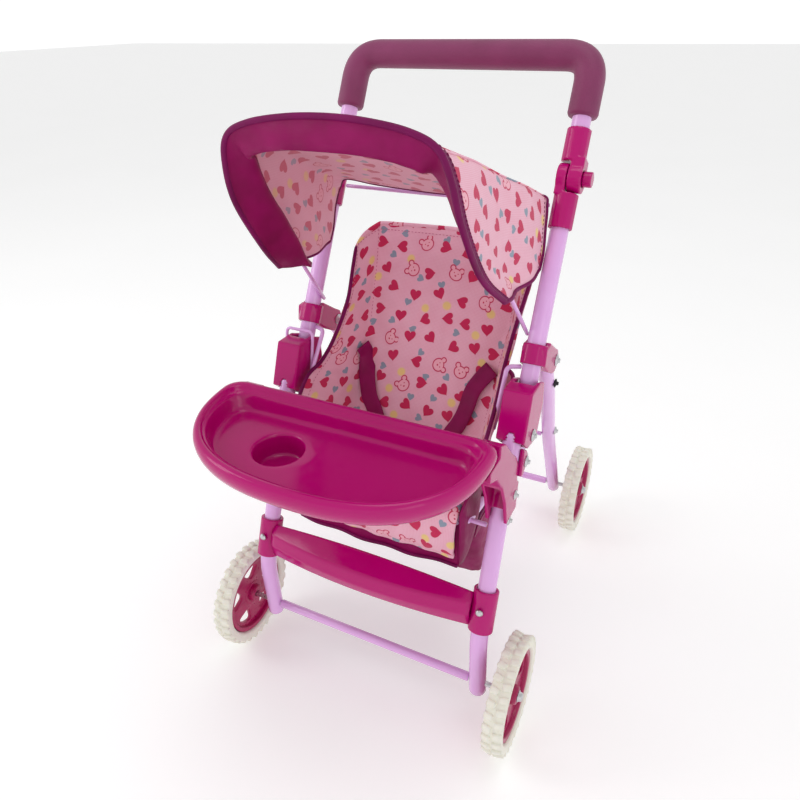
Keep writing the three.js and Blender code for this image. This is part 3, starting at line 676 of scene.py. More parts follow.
def screw_head(name, side, cad_node):
    """A plain pan head on the front of a footrest sleeve."""
    middle = at(side * SIDE, -8.0, 145)
    profile = [(0.01, 2.4), (2.2, 2.2), (3.2, 1.2), (3.5, 0), (0.01, 0)]
    points, faces = turned(profile, Vector((0, 0, 0)), 32)
    points = [middle + Vector((p.y, -p.x, p.z)) for p in points]
    head = new_piece(name, points, faces, ZINC)
    merged(head, 2e-5)
    fitted(head, "front_frame", "zinc_steel", cad_node)


for side, word in HANDS:
    screw_head(f"footrest_screw_head_{word}", side, f"footrest_screw_{word}")

# ---- push handle ----
# The U-shaped handle is one bent tube; a closed-cell foam sleeve covers its bar and both bends.
tubes("handle_tube", "handle", ["handle_bar"],
      ([(-SIDE, 177.7, 494.4), (-SIDE, 218, 575), (SIDE, 218, 575), (SIDE, 177.7, 494.4)], 0.023, TUBE))


def sleeve_foam():
    look, tree, shader = finish_called("plum_foam")
    coloured(tree, shader, speckle(tree, 45), (0.17, 0.013, 0.075), (0.25, 0.025, 0.12))
    shader.inputs["Roughness"].default_value = 0.55
    shader.inputs["Sheen Weight"].default_value = 0.15
    cells = node(tree, "ShaderNodeTexVoronoi", {"Scale": 900.0})
    place = node(tree, "ShaderNodeTexCoord")
    tree.links.new(place.outputs["Object"], cells.inputs["Vector"])
    bumped(tree, shader, cells.outputs["Distance"], 0.35, 0.0004)
    return look


PLUM_FOAM = sleeve_foam()
grip_path = rounded_corners(
    [at(-SIDE, 194.3, 527.5), at(-SIDE, 218, 575), at(SIDE, 218, 575), at(SIDE, 194.3, 527.5)], 0.026, 14)
grip = new_piece("foam_grip", *round_bar(grip_path, 0.013, 40, 0.003), PLUM_FOAM)
fitted(grip, "handle", "plum_foam", "handle_grip")

# ---- snack tray ----
# One moulding: a D-shaped basin with a rolled rim, a cup well at one side and a deep rounded front.
TRAY_HALF, TRAY_DEPTH, TRAY_FLOOR = 124, 119.4, -18.4
CUP = (-42, -55)
AROUND = 224
tray_tilt = Matrix.Rotation(math.radians(3.3), 4, "X")


def tray_edge(inset, corner=15):
    """Distances from the cup's centre to the tray's outline, moved in by an inset, all the way round."""
    half, depth = TRAY_HALF - inset, TRAY_DEPTH - 2 * inset
    outline = []
    for i in range(241):
        angle = math.pi + math.pi * i / 240
        squared = [math.copysign(abs(v) ** (2 / 2.4), v) for v in (math.cos(angle), math.sin(angle))]
        outline.append((half * squared[0], -inset - corner + (depth - corner) * squared[1]))
    for side_sign in (1, -1):
        for i in range(1, 24):
            turn_in = math.pi / 2 * (i / 24 if side_sign > 0 else 1 - i / 24)
            outline.append((side_sign * (half - corner + corner * math.cos(turn_in)),
                            -inset - corner + corner * math.sin(turn_in)))
    outline += [((half - corner) * (1 - i / 40), -inset) for i in range(1, 80)]
    offsets = np.array(outline) - np.array(CUP)
    angles = np.arctan2(offsets[:, 1], offsets[:, 0])
    order = np.argsort(angles)
    wanted = -math.pi + 2 * math.pi * np.arange(AROUND) / AROUND
    return np.interp(wanted, angles[order], np.hypot(offsets[:, 0], offsets[:, 1])[order], period=2 * math.pi)


def tray_ring(radii, z):
    """A ring round the cup's centre, in mm from the middle of the tray's rear edge."""
    angles = -math.pi + 2 * math.pi * np.arange(AROUND) / AROUND
    return [(CUP[0] + r * math.cos(a), CUP[1] + r * math.sin(a), z) for r, a in zip(radii, angles)]


def round_ring(radius, z):
    return tray_ring(np.full(AROUND, radius), z)


def floor_ring(radius, inset, share, z):
    return tray_ring(radius * (1 - share) + tray_edge(inset) * share, z)


tray_rings = [round_ring(r, z) for r, z in (
    (4, -38.4), (12, -38.4), (17, -38.3), (19, -37.4), (20, -35.6), (20.2, -30), (20.5, -22), (20.9, -19.9),
    (21.8, -18.8), (23.2, TRAY_FLOOR))]
tray_rings += [floor_ring(24.5, 20, share, TRAY_FLOOR) for share in (0.08, 0.3, 0.6, 0.9)]
tray_rings += [tray_ring(tray_edge(inset), z) for inset, z in (
    (19, TRAY_FLOOR), (17.4, -17.8), (16.2, -16.2), (15.2, -13), (14.2, -9), (13.2, -5.2), (12.2, -3.6),
    (10.6, -2.9), (9.4, -2.2), (8.6, -0.8), (7.4, 0.5), (5.6, 1.0), (3.6, 0.6), (1.8, -0.7), (0.5, -2.8),
    (0, -5.6), (0.2, -8.6), (1.2, -12), (3, -15.4), (5.6, -18.3), (9, -20.3), (13, -21))]
tray_rings += [floor_ring(25, 20, share, -21) for share in (0.7, 0.35, 0.05)]
tray_rings += [round_ring(r, z) for r, z in (
    (23.4, -21.6), (22.8, -24), (22.5, -37), (21.6, -39.8), (18, -41), (4, -41))]


def lofted(rings):
    """Points and faces of a closed shape through rings of equal count."""
    count, last = len(rings[0]), len(rings) - 1
    points = [p for ring in rings for p in ring]
    faces = []
    for here in range(0, last * count, count):
        for k in range(count):
            ahead = (k + 1) % count
            faces.append((here + k, here + ahead, here + count + ahead, here + count + k))
    faces += [tuple(range(count)), tuple(last * count + k for k in range(count))[::-1]]
    return points, faces


tray_points, tray_faces = lofted(tray_rings)
rim_middle = at(0, -11, 323)
tray_points = [rim_middle + tray_tilt @ (Vector(p) / 1000) for p in tray_points]
tray_shell = new_piece("snack_tray", tray_points, tray_faces, MAGENTA)
fitted(tray_shell, "front_frame", "magenta_plastic", "tray")

# ---- footrest ----
# A crowned moulded board whose two sleeves are slid on the front legs and held by a screw each.


def collar(start, end, inner, outer):
    """A sleeve round the line from start to end, its edges eased."""
    way = end - start
    length = way.length * 1000
    profile = rounded_profile([(inner, 0), (outer, 0), (outer, length), (inner, length)], 1.3, 3)
    points, faces = turned(profile, Vector((0, 0, 0)), 48)
    swing = Vector((1, 0, 0)).rotation_difference(way.normalized()).to_matrix()
    return [start + swing @ p for p in points], faces


def leg_y(z):
    """How far behind the axle the front legs' straight upper part is at a height."""
    return -5.5 + (z - 113) * 61.5 / 179


board_rings = []
for i in range(53):
    s = -1 + 2 * i / 52
    crown = 1 - s * s
    nose, lip = (-9 - 14 * crown, 141 + 3 * crown), (-6 - 13 * crown, 124 + 6 * crown)
    top = (3 - 5 * crown, 156 + 9 * crown)
    corners = [top, (nose[0] + 2.4, nose[1] + 9.5), (nose[0] + 0.6, nose[1] + 1.5),
               (nose[0] - 0.6, nose[1] - 2), lip, (lip[0] + 4.5, lip[1] - 0.6), (nose[0] + 6.5, nose[1] - 1),
               (top[0] + 3.2, top[1] - 4.5)]
    board_rings.append([at(s * 103.4, y, z) for y, z in rounded_profile(corners, 2.6, 4)])
sleeves = [collar(*[at(s * SIDE, leg_y(z), z) for z in (120.6, 157.4)], 8.15, 11.2) for s in (-1, 1)]
board = new_piece("footrest_board", *together(lofted(board_rings), *sleeves), MAGENTA)
fitted(board, "front_frame", "magenta_plastic", "footrest")

# ---- wire parts ----
# The seat rail and its pins, the lock bail over one fold bracket, the canopy's bow and rear rod, and
# the rods in the seat's side hems: all bent steel wire, painted like the tubes.
tubes("seat_rail_wire", "seat_frame", ["seat_rail"],
      ([(-86, 240, 183), (-86, 22, 210), (86, 22, 210), (86, 240, 183)], 0.014, 0.004),
      *[([(s * 85, 30, 209), (s * 103, 30, 209)], 0, 0.0022) for s in (-1, 1)],
      *[([(s * 85, 239.5, 183), (s * 95, 239.5, 183)], 0, 0.0024) for s in (-1, 1)])
tubes("lock_bail_wire", "lock_bail", ["lock_bail"],
      ([(-98.4, 75, 296), (-98.4, 81, 334.2), (-127.8, 81, 334.2), (-127.8, 75, 296)], 0.005, 0.0015))
for side, word in HANDS:
    tubes(f"hem_rod_wire_{word}", "push_frame", [f"hem_rod_{word}"],
          ([(side * 94, 60, 287), (side * 93, 92, 333), (side * 104.3, 97, 333)], 0.005, 0.002))


def bow_point(side, reach_out, x):
    """A place on the bow: mm out from its pivots, and mm to one side."""
    return (side * x, 112 - reach_out * 0.655, 358 + reach_out * 0.756)


bow_line = [bow_point(s, r, x) for s, r, x in (
    (-1, -1, 103), (-1, 60, 98), (-1, 150, 85.5), (-1, 212, 82), (-1, 232, 62), (-1, 239, 25), (1, 239, 25),
    (1, 232, 62), (1, 212, 82), (1, 150, 85.5), (1, 60, 98), (1, -1, 103))]
tubes("canopy_bow_wire", "canopy_bow", ["canopy_bow"], (bow_line, 0.009, 0.0018))
tubes("canopy_rod_wire", "push_frame", ["canopy_rod"],
      ([(-100.5, 160.5, 459), (100.5, 160.5, 459)], 0, 0.0018))

# ---- printed cloth ----
# Thin woven polyester, pale pink with a fine white lattice, printed with tossed hearts, soft yellow
# blots and outlined teddy heads; the plum cloth is a plain satin weave.


def maths(tree, operation, *values):
    return node(tree, "ShaderNodeMath", dict(enumerate(values)), operation=operation).outputs[0]


def filled(tree, distance, soft):
    """1 inside the line where a distance is 0, 0 outside."""
    spread = {"Value": distance, "From Min": soft / 2, "From Max": -soft / 2, "To Min": 0.0, "To Max": 1.0}
    return node(tree, "ShaderNodeMapRange", spread, interpolation_type="SMOOTHSTEP").outputs["Result"]


def tossed(tree, across, along, pitch, layer, swing):
    """Splits the cloth into staggered cells: a random value for each, and turned places inside it."""
    rows = maths(tree, "DIVIDE", along, pitch)
    row = maths(tree, "FLOOR", rows)
    stagger = maths(tree, "MULTIPLY", maths(tree, "PINGPONG", row, 1.0), 0.5)
    columns = maths(tree, "ADD", maths(tree, "DIVIDE", across, pitch), stagger)
    cell = node(tree, "ShaderNodeCombineXYZ", {0: maths(tree, "FLOOR", columns), 1: row, 2: layer})
    dice = node(tree, "ShaderNodeTexWhiteNoise", {"Vector": cell.outputs[0]}, noise_dimensions="3D")
    colours = node(tree, "ShaderNodeSeparateColor", {0: dice.outputs["Color"]})
    x = maths(tree, "SUBTRACT", maths(tree, "FRACT", columns), maths(
        tree, "ADD", maths(tree, "MULTIPLY", colours.outputs[0], 0.3), 0.35))
    y = maths(tree, "SUBTRACT", maths(tree, "FRACT", rows), maths(
        tree, "ADD", maths(tree, "MULTIPLY", colours.outputs[1], 0.3), 0.35))
    angle = maths(tree, "MULTIPLY", maths(tree, "SUBTRACT", colours.outputs[2], 0.5), swing)
    cosine, sine = maths(tree, "COSINE", angle), maths(tree, "SINE", angle)
    turned_x = maths(tree, "SUBTRACT", maths(tree, "MULTIPLY", x, cosine), maths(tree, "MULTIPLY", y, sine))
    turned_y = maths(tree, "ADD", maths(tree, "MULTIPLY", x, sine), maths(tree, "MULTIPLY", y, cosine))
    places = [maths(tree, "MULTIPLY", turned, pitch) for turned in (turned_x, turned_y)]
    return dice.outputs["Value"], *places


def heart(tree, x, y, half_width):
    """Below 0 inside a heart standing on its tip."""
    wide, high = maths(tree, "DIVIDE", x, half_width), maths(tree, "DIVIDE", y, half_width)
    lobes = maths(tree, "MULTIPLY", maths(tree, "SQRT", maths(tree, "ABSOLUTE", wide)), 0.85)
    lift = maths(tree, "ADD", maths(tree, "SUBTRACT", maths(tree, "MULTIPLY", high, 1.2), lobes), 0.3)
    size = maths(tree, "ADD", maths(tree, "MULTIPLY", wide, wide), maths(tree, "MULTIPLY", lift, lift))
    return maths(tree, "SUBTRACT", size, 1.0)


def disc(tree, x, y, centre_x, centre_y, radius, squash=1.0):
    """Distance outside a round or oval spot."""
    dx = maths(tree, "SUBTRACT", x, centre_x)
    dy = maths(tree, "MULTIPLY", maths(tree, "SUBTRACT", y, centre_y), squash)
    squares = maths(tree, "ADD", maths(tree, "MULTIPLY", dx, dx), maths(tree, "MULTIPLY", dy, dy))
    return maths(tree, "SUBTRACT", maths(tree, "SQRT", squares), radius)


def within(tree, value, low, high):
    """1 where a value lies between two others."""
    above, below = maths(tree, "GREATER_THAN", value, low), maths(tree, "LESS_THAN", value, high)
    return maths(tree, "MULTIPLY", above, below)


PINK, WHITE_PINK = (0.82, 0.36, 0.49), (0.95, 0.66, 0.75)
BERRY, SLATE = (0.58, 0.008, 0.085), (0.27, 0.33, 0.42)
BUTTER, TEDDY = (0.86, 0.62, 0.24), (0.90, 0.45, 0.54)
PRINT_PITCH = 0.023


def print_cloth(name, strength=1.0):
    """The printed cloth; a strength below 1 is the paler back of the print."""
    look, tree, shader = finish_called(name)
    flat = node(tree, "ShaderNodeUVMap", uv_map="cloth")
    split = node(tree, "ShaderNodeSeparateXYZ", {0: flat.outputs["UV"]})
    across, along = split.outputs[0], split.outputs[1]
    slant = maths(tree, "SINE", maths(tree, "MULTIPLY", maths(tree, "ADD", across, along), 2300.0))
    other = maths(tree, "SINE", maths(tree, "MULTIPLY", maths(tree, "SUBTRACT", across, along), 2300.0))
    lattice = ranged(tree, maths(tree, "MULTIPLY", slant, other), 0.15, 0.75, -0.4, 0.8)
    colour = blended(tree, lattice, PINK, WHITE_PINK)
    wash = node(tree, "ShaderNodeTexNoise", {"Vector": flat.outputs["UV"], "Scale": 60.0, "Detail": 2.0})
    colour = blended(tree, ranged(tree, wash.outputs["Fac"], 0.0, 0.25), colour, (0.78, 0.30, 0.42))

    between = [maths(tree, "ADD", way, PRINT_PITCH / 2) for way in (across, along)]
    small, x, y = tossed(tree, *between, PRINT_PITCH, 7.0, 4.4)
    blot = filled(tree, disc(tree, x, y, 0.0, 0.0, 0.0042), 0.0024)
    colour = blended(tree, maths(tree, "MULTIPLY", blot, within(tree, small, 0.42, 0.76)), colour, BUTTER)
    tiny = filled(tree, heart(tree, x, y, 0.0038), 0.3)
    colour = blended(tree, maths(tree, "MULTIPLY", tiny, within(tree, small, -1.0, 0.42)), colour, SLATE)

    large, x, y = tossed(tree, across, along, PRINT_PITCH, 3.0, 3.6)
    big = filled(tree, heart(tree, x, y, 0.0059), 0.16)
    colour = blended(tree, maths(tree, "MULTIPLY", big, within(tree, large, 0.2, 1.1)), colour, BERRY)
    mirror = maths(tree, "ABSOLUTE", x)
    head = maths(tree, "MINIMUM", disc(tree, x, y, 0.0, -0.0008, 0.0064, 1.12),
                 disc(tree, mirror, y, 0.0048, 0.0046, 0.0026))
    teddy_here = within(tree, large, -1.0, 0.2)
    face = maths(tree, "MULTIPLY", filled(tree, head, 0.0006), teddy_here)
    colour = blended(tree, face, colour, TEDDY)
    rim = maths(tree, "SUBTRACT", maths(tree, "ABSOLUTE", head), 0.0006)
    dots = maths(tree, "MINIMUM", disc(tree, mirror, y, 0.0021, 0.0006, 0.0006),
                 disc(tree, x, y, 0.0, -0.0020, 0.0010, 1.3))
    ink = maths(tree, "MULTIPLY", filled(tree, maths(tree, "MINIMUM", rim, dots), 0.0006), teddy_here)
    colour = blended(tree, ink, colour, BERRY)

    if strength < 1:
        colour = blended(tree, 1 - strength, colour, (0.86, 0.55, 0.60))
    tree.links.new(colour, shader.inputs["Base Color"])
    shader.inputs["Roughness"].default_value = 0.82
    shader.inputs["Sheen Weight"].default_value = 0.2
    shader.inputs["Sheen Roughness"].default_value = 0.5
    warp = maths(tree, "SINE", maths(tree, "MULTIPLY", across, 9000.0))
    weft = maths(tree, "SINE", maths(tree, "MULTIPLY", along, 9000.0))
    creases = maths(tree, "MULTIPLY", wash.outputs["Fac"], 6.0)
    bumped(tree, shader, maths(tree, "ADD", maths(tree, "MULTIPLY", warp, weft), creases), 0.25, 0.0004)
    return look


def satin_cloth(name, dark, light):
    look, tree, shader = finish_called(name)
    cloudy = speckle(tree, 30)
    coloured(tree, shader, ranged(tree, cloudy, 0, 1), dark, light)
    roughened(tree, shader, 90, 0.42, 0.6)
    shader.inputs["Specular IOR Level"].default_value = 0.2
    place = node(tree, "ShaderNodeTexCoord")
    thread = node(tree, "ShaderNodeTexWave", {
        "Vector": place.outputs["Object"], "Scale": 700.0, "Distortion": 1.5})
    creases = maths(tree, "MULTIPLY", cloudy, 4.0)
    bumped(tree, shader, maths(tree, "ADD", thread.outputs["Fac"], creases), 0.2, 0.0005)
    return look


PRINT, FADED_PRINT = print_cloth("printed_fabric"), print_cloth("printed_fabric_back", 0.7)
SATIN = satin_cloth("plum_fabric", (0.20, 0.0, 0.062), (0.30, 0.001, 0.105))
BINDING = satin_cloth("plum_binding", (0.14, 0.0, 0.060), (0.21, 0.001, 0.095))


def smooth_line(points, fineness=24):
    """A soft curve through points, read from 0 to 1 with equal shares between neighbours."""
    knots = [Vector(p) for p in points]
    line = []
    for i in range(len(knots) - 1):
        before = knots[i - 1] if i else knots[0] * 2 - knots[1]
        after = knots[i + 2] if i + 2 < len(knots) else knots[-1] * 2 - knots[-2]
        for k in range(fineness):
            t = k / fineness
            line.append(0.5 * (
                2 * knots[i] + (knots[i + 1] - before) * t
                + (2 * before - 5 * knots[i] + 4 * knots[i + 1] - after) * t * t
                + (3 * knots[i] - before - 3 * knots[i + 1] + after) * t ** 3))
    line.append(knots[-1])
    table = np.array([tuple(p) for p in line])
    spots = np.linspace(0, 1, len(line))
    return lambda t: Vector([float(np.interp(t, spots, table[:, axis])) for axis in range(3)])


def cloth_grid(surface, across, along, u_range=(0, 1), v_range=(0, 1)):
    """Points, outward directions and flat cloth places of a surface, in rows from v low to v high."""
    us = [u_range[0] + (u_range[1] - u_range[0]) * i / across for i in range(across + 1)]
    vs = [v_range[0] + (v_range[1] - v_range[0]) * j / along for j in range(along + 1)]
    points = [[surface(u, v) for u in us] for v in vs]
    step = 0.004
    normals = [[(surface(u + step, v) - surface(u - step, v)).cross(surface(u, v + step) - surface(u, v - step)).normalized()
                for u in us] for v in vs]
    flats = []
    down = [0.0] * (across + 1)
    for j, row in enumerate(points):
        if j:
            down = [d + (row[i] - points[j - 1][i]).length for i, d in enumerate(down)]
        lengths = [0.0]
        for first, second in zip(row, row[1:]):
            lengths.append(lengths[-1] + (second - first).length)
        middle = lengths[len(lengths) // 2]
        flats.append([(length - middle + 5, 5 - depth) for length, depth in zip(lengths, down)])
    return points, normals, flats


def cloth_shell(surface, across, along, thickness, outward=0.0, u_range=(0, 1), v_range=(0, 1)):
    """A closed thin sheet: its outer face stands off a surface, its inner face lies a thickness below."""
    points, normals, flats = cloth_grid(surface, across, along, u_range, v_range)
    flat_points = [p + n * outward for row, ways in zip(points, normals) for p, n in zip(row, ways)]
    flat_points += [p + n * (outward - thickness) for row, ways in zip(points, normals) for p, n in zip(row, ways)]
    cloth = [c for row in flats for c in row] * 2
    wide, total = across + 1, (across + 1) * (along + 1)
    faces = []
    for j in range(along):
        for i in range(across):
            a = j * wide + i
            faces.append((a, a + 1, a + wide + 1, a + wide))
            faces.append((total + a, total + a + wide, total + a + wide + 1, total + a + 1))
    for i in range(across):
        far = along * wide + i
        faces += [(i, total + i, total + i + 1, i + 1), (far + 1, total + far + 1, total + far, far)]
    for j in range(along):
        near, far = j * wide, j * wide + across
        faces += [(near + wide, total + near + wide, total + near, near), (far, total + far, total + far + wide, far + wide)]
    return flat_points, faces, cloth


def cut_size(surface, across=24, along=24):
    """Mean width and mean length of a surface laid flat, in metres."""
    points, _, _ = cloth_grid(surface, across, along)
    width = np.mean([sum((b - a).length for a, b in zip(row, row[1:])) for row in points])
    length = np.mean([sum((points[j + 1][i] - points[j][i]).length for j in range(along)) for i in range(across + 1)])
    return float(width), float(length)


# ---- canopy ----
# One arched sheet of printed cloth over a wire bow and a rear rod, with two side flaps, a satin facing
# inside its brim, a bound front edge and piped sides and back.
canopy_front = smooth_line([at(*p) for p in (
    (-102.7, 41, 412), (-94.2, 8, 440), (-91, -26, 485), (-87, -38, 518), (-79, -42, 537), (-60, -42.5, 546),
    (-30, -43, 551), (0, -43, 552.5), (30, -43, 551), (60, -42.5, 546), (79, -42, 537), (87, -38, 518),
    (91, -26, 485), (94.2, 8, 440), (102.7, 41, 412))])
canopy_rear = smooth_line([at(*p) for p in (
    (-104, 130, 411), (-104, 137, 424), (-103, 141, 444), (-101, 148, 460), (-96, 153, 468), (-66, 155, 465),
    (-33, 156, 463), (0, 156, 462), (33, 156, 463), (66, 155, 465), (96, 153, 468), (101, 148, 460),
    (103, 141, 444), (104, 137, 424), (104, 130, 411))])


def canopy_surface(u, v):
    """u runs from the left flap over the top to the right flap, v from the brim to the back."""
    u = min(max(u, 0.0), 1.0)
    p = canopy_front(u).lerp(canopy_rear(u), v)
    top = math.sin(math.pi * u) ** 2
    slack = math.sin(math.pi * min(max(v, 0), 1))
    side_sign = 1 if u > 0.5 else -1
    p.z += 0.0035 * slack * top - 0.0016 * top * slack * math.sin(9 * v + 4 * u)
    p.z += 0.0012 * top * slack * math.sin(26 * u + 5 * v)
    flap = 1 - top
    p.x += side_sign * flap * slack * (0.0030 * math.sin(8.5 * v + 1.1 * side_sign) - 0.001)
    p.z -= 0.0035 * flap ** 3 * slack
    return p


def canopy_width(u):
    return (canopy_rear(u) - canopy_front(u)).length


def arch_laid_flat(across, along):
    """The print's places on the canopy: the way round the arch, and the way back from the brim."""
    places = []
    for j in range(along + 1):
        row = [canopy_surface(i / across, j / along) for i in range(across + 1)]
        ways = [0.0]
        for first, second in zip(row, row[1:]):
            ways.append(ways[-1] + math.hypot(second.x - first.x, second.z - first.z))
        places += [(way - ways[across // 2] + 5, 5 - 1.06 * p.y) for way, p in zip(ways, row)]
    return places * 2


canopy_points, canopy_faces, _ = cloth_shell(canopy_surface, 120, 36, 0.0009)
canopy_sheet = new_piece("canopy_cloth", canopy_points, canopy_faces, PRINT, arch_laid_flat(120, 36))
canopy_sheet.data.materials.append(FADED_PRINT)
half_of_faces = 120 * 36
for index, face in enumerate(canopy_sheet.data.polygons):
    if index < 2 * half_of_faces and index % 2 == 1:
        face.material_index = 1


def rides_on_canopy(piece):
    """Bakes the piece's placement into its mesh."""
    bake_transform(piece)


rides_on_canopy(canopy_sheet)
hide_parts("canopy")


def strip_along_brim(u, v, depth):
    return canopy_surface(u, v * depth / canopy_width(u))


bow_path = rounded_corners([at(*p) for p in bow_line], 0.009)


def from_bow(p):
    """How far a place is from the bow's wire."""
    nearest = 1.0
    for start, end in zip(bow_path, bow_path[1:]):
        share = min(1, max(0, (p - start).dot(end - start) / (end - start).length_squared))
        nearest = min(nearest, (p - start.lerp(end, share)).length)
    return nearest


bow_spots = [min((from_bow(canopy_surface(i / 60, 0.012 * k)), 0.012 * k * canopy_width(i / 60)) for k in range(40))
             for i in range(61)]
bow_gaps, bow_depths = (np.convolve(np.pad(row, 4, "edge"), np.ones(9) / 9, "valid") for row in zip(*bow_spots))
bow_gaps = np.maximum(bow_gaps, [gap for gap, _ in bow_spots])


def brim_facing(u, w):
    """The lining from the brim back to just behind the bow; it passes under the wire as its sleeve."""
    u = min(max(u, 0.0), 1.0)
    gap, wire_at = (float(np.interp(u, np.linspace(0, 1, 61), row)) for row in (bow_gaps, bow_depths))
    wire_at = min(wire_at, 0.045)
    depth = w * max(wire_at + 0.011, 0.036)
    rise = min(1, max(0, depth / wire_at))
    hang = rise * rise * (3 - 2 * rise) if depth < wire_at else math.exp(-((depth - wire_at) / 0.014) ** 2)
    drop = 0.0013 + (min(gap, 0.022) + 0.0064) * hang
    v, step = depth / canopy_width(u), 0.004
    across = canopy_surface(u + step, v) - canopy_surface(u - step, v)
    down = canopy_surface(u, v + step) - canopy_surface(u, v - step)
    return canopy_surface(u, v) - across.cross(down).normalized() * drop


facing = new_piece("canopy_facing", *cloth_shell(brim_facing, 120, 18, 0.0008, 0, v_range=(0, 1))[:2], SATIN)
rides_on_canopy(facing)
brim_band = new_piece(
    "canopy_brim_binding",
    *cloth_shell(lambda u, v: strip_along_brim(u, v, 0.0095), 120, 4, 0.0028, 0.0010, v_range=(-0.15, 1))[:2], BINDING)
rides_on_canopy(brim_band)
brim_cord = new_piece(
    "canopy_brim_roll", *round_bar([strip_along_brim(i / 120, 0.02, 0.0095) for i in range(121)], 0.0024, 12), BINDING)
rides_on_canopy(brim_cord)
edge_path = [canopy_surface(0, j / 20) for j in range(21)] + [canopy_surface(i / 90, 1) for i in range(1, 90)]
edge_path += [canopy_surface(1, 1 - j / 20) for j in range(21)]
canopy_piping = new_piece("canopy_piping", *round_bar(edge_path, 0.0017, 12), BINDING)
rides_on_canopy(canopy_piping)
top_seams = [[canopy_surface(u, j / 30) + Vector((0, 0, 0.0006)) for j in range(31)] for u in (0.285, 0.715)]
canopy_seams = new_piece("canopy_seams", *together(*[round_bar(line, 0.0008, 8) for line in top_seams]), PRINT)
rides_on_canopy(canopy_seams)
cut_size(canopy_surface)

# ---- seat back and wings ----
# Two layers of printed cloth over thin foam, creased and stitched where the wings fold forward; the
# wings' free edges are piped and run down to the sides of the seat.
wing_edge = smooth_line([at(*p) for p in (
    (92, 161, 408), (89.8, 148, 382), (86.5, 128, 350), (86.9, 102, 323), (89.4, 80, 306), (93, 56, 297),
    (92, 34, 272), (84, 22, 236))])
back_crease = smooth_line([at(*p) for p in (
    (76, 182, 419), (75, 176, 394), (74, 166, 360), (72, 151, 325), (70, 133, 290), (68, 112, 252), (67, 103, 238),
    (66, 99, 233))])
CREASE_AT = 0.62


def seat_surface(u, v):
    """u runs from the right wing's edge to the left wing's edge, v from the top down to the seat."""
    u, v = min(max(u, 0.0), 1.0), min(max(v, 0.0), 1.0)
    side_sign = 1 if u < 0.5 else -1
    s = abs(2 * u - 1)
    crease, edge = back_crease(v), wing_edge(v)
    if s <= CREASE_AT:
        t = s / CREASE_AT
        ease = 1 - t * t
        p = Vector((crease.x * t, crease.y + 0.007 * ease, crease.z - 0.002 * ease))
        p.z += 0.003 * ease * (1 - v) ** 8
        ridge = math.exp(-((p.x - 0.004) / 0.005) ** 2) * math.exp(-((v - 0.42) / 0.22) ** 2)
        pull = math.sin(34 * v + 60 * p.x) * math.exp(-((t - 0.85) / 0.2) ** 2)
        p.y -= 0.0022 * ridge + 0.0010 * pull + 0.0011 * math.sin(11 * v + 38 * p.x) * ease
    else:
        t = (s - CREASE_AT) / (1 - CREASE_AT)
        p = crease.lerp(edge, t)
        p.x += 0.004 * math.sin(math.pi * t) * min(1, 1.4 * v) + 0.0012 * math.sin(math.pi * t) * math.sin(23 * v)
        p.z -= 0.010 * (t ** 4) * (1 - v) ** 14
    p.x *= side_sign
    return p


def puffed(surface, across, along, thickness, puff, seams):
    """A padded shell: its front face swells between seams, given as lines of u, and at its borders."""
    points, faces, cloth = cloth_shell(surface, across, along, thickness)
    _, normals, _ = cloth_grid(surface, across, along)
    wide = across + 1
    for j in range(along + 1):
        for i in range(across + 1):
            u, v = i / across, j / along
            near = min([abs(u - seam) for seam in seams] + [u, 1 - u])
            rise_here = (1 - math.exp(-near / 0.035)) * (1 - math.exp(-min(v, 1 - v) / 0.05))
            points[j * wide + i] = points[j * wide + i] + normals[j][i] * (puff * rise_here - 0.0006)
    return points, faces, cloth


def blown_up(piece, across, along, seams, cap):
    """Air lifts the front layer between its seams, no point further than cap; then one subdivision."""
    wide = across + 1
    sewn_down = []
    for j in range(along + 1):
        for i in range(across + 1):
            near = min([abs(i / across - seam) for seam in seams] + [i / across, 1 - i / across])
            if near < 1.2 / across or j in (0, along):
                sewn_down.append(j * wide + i)
    sewn_down += range(wide * (along + 1), 2 * wide * (along + 1))
    group = piece.vertex_groups.new(name="sewn_down")
    group.add(sewn_down, 1.0, "REPLACE")
    air = piece.modifiers.new("air", "CLOTH")
    air.settings.quality = 6
    air.settings.use_pressure = True
    air.settings.uniform_pressure_force = 4.0
    air.settings.vertex_group_mass = "sewn_down"
    air.settings.effector_weights.gravity = 0
    for number in range(1, 21):
        scene.frame_set(number)
    swollen = piece.evaluated_get(bpy.context.evaluated_depsgraph_get())
    there = [v.co.copy() for v in swollen.data.vertices]
    piece.modifiers.remove(air)
    piece.vertex_groups.remove(group)
    scene.frame_set(1)
    for vertex, place in zip(piece.data.vertices, there):
        step = place - vertex.co
        vertex.co += step.normalized() * min(step.length, cap)
    fine = piece.modifiers.new("fine", "SUBSURF")
    fine.levels = fine.render_levels = 1
    smooth = bpy.data.meshes.new_from_object(piece.evaluated_get(bpy.context.evaluated_depsgraph_get()))
    piece.modifiers.clear()
    piece.data = smooth


CREASES = (0.5 - CREASE_AT / 2, 0.5 + CREASE_AT / 2)
seat_pad = new_piece("seat_back_cloth", *puffed(seat_surface, 64, 48, 0.0034, 0.0022, CREASES)[:2], PRINT,
                     puffed(seat_surface, 64, 48, 0.0034, 0.0022, CREASES)[2])
blown_up(seat_pad, 64, 48, CREASES, 0.005)


def rides_on_seat_back(piece):
    """Bakes the piece's placement into its mesh."""
    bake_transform(piece)


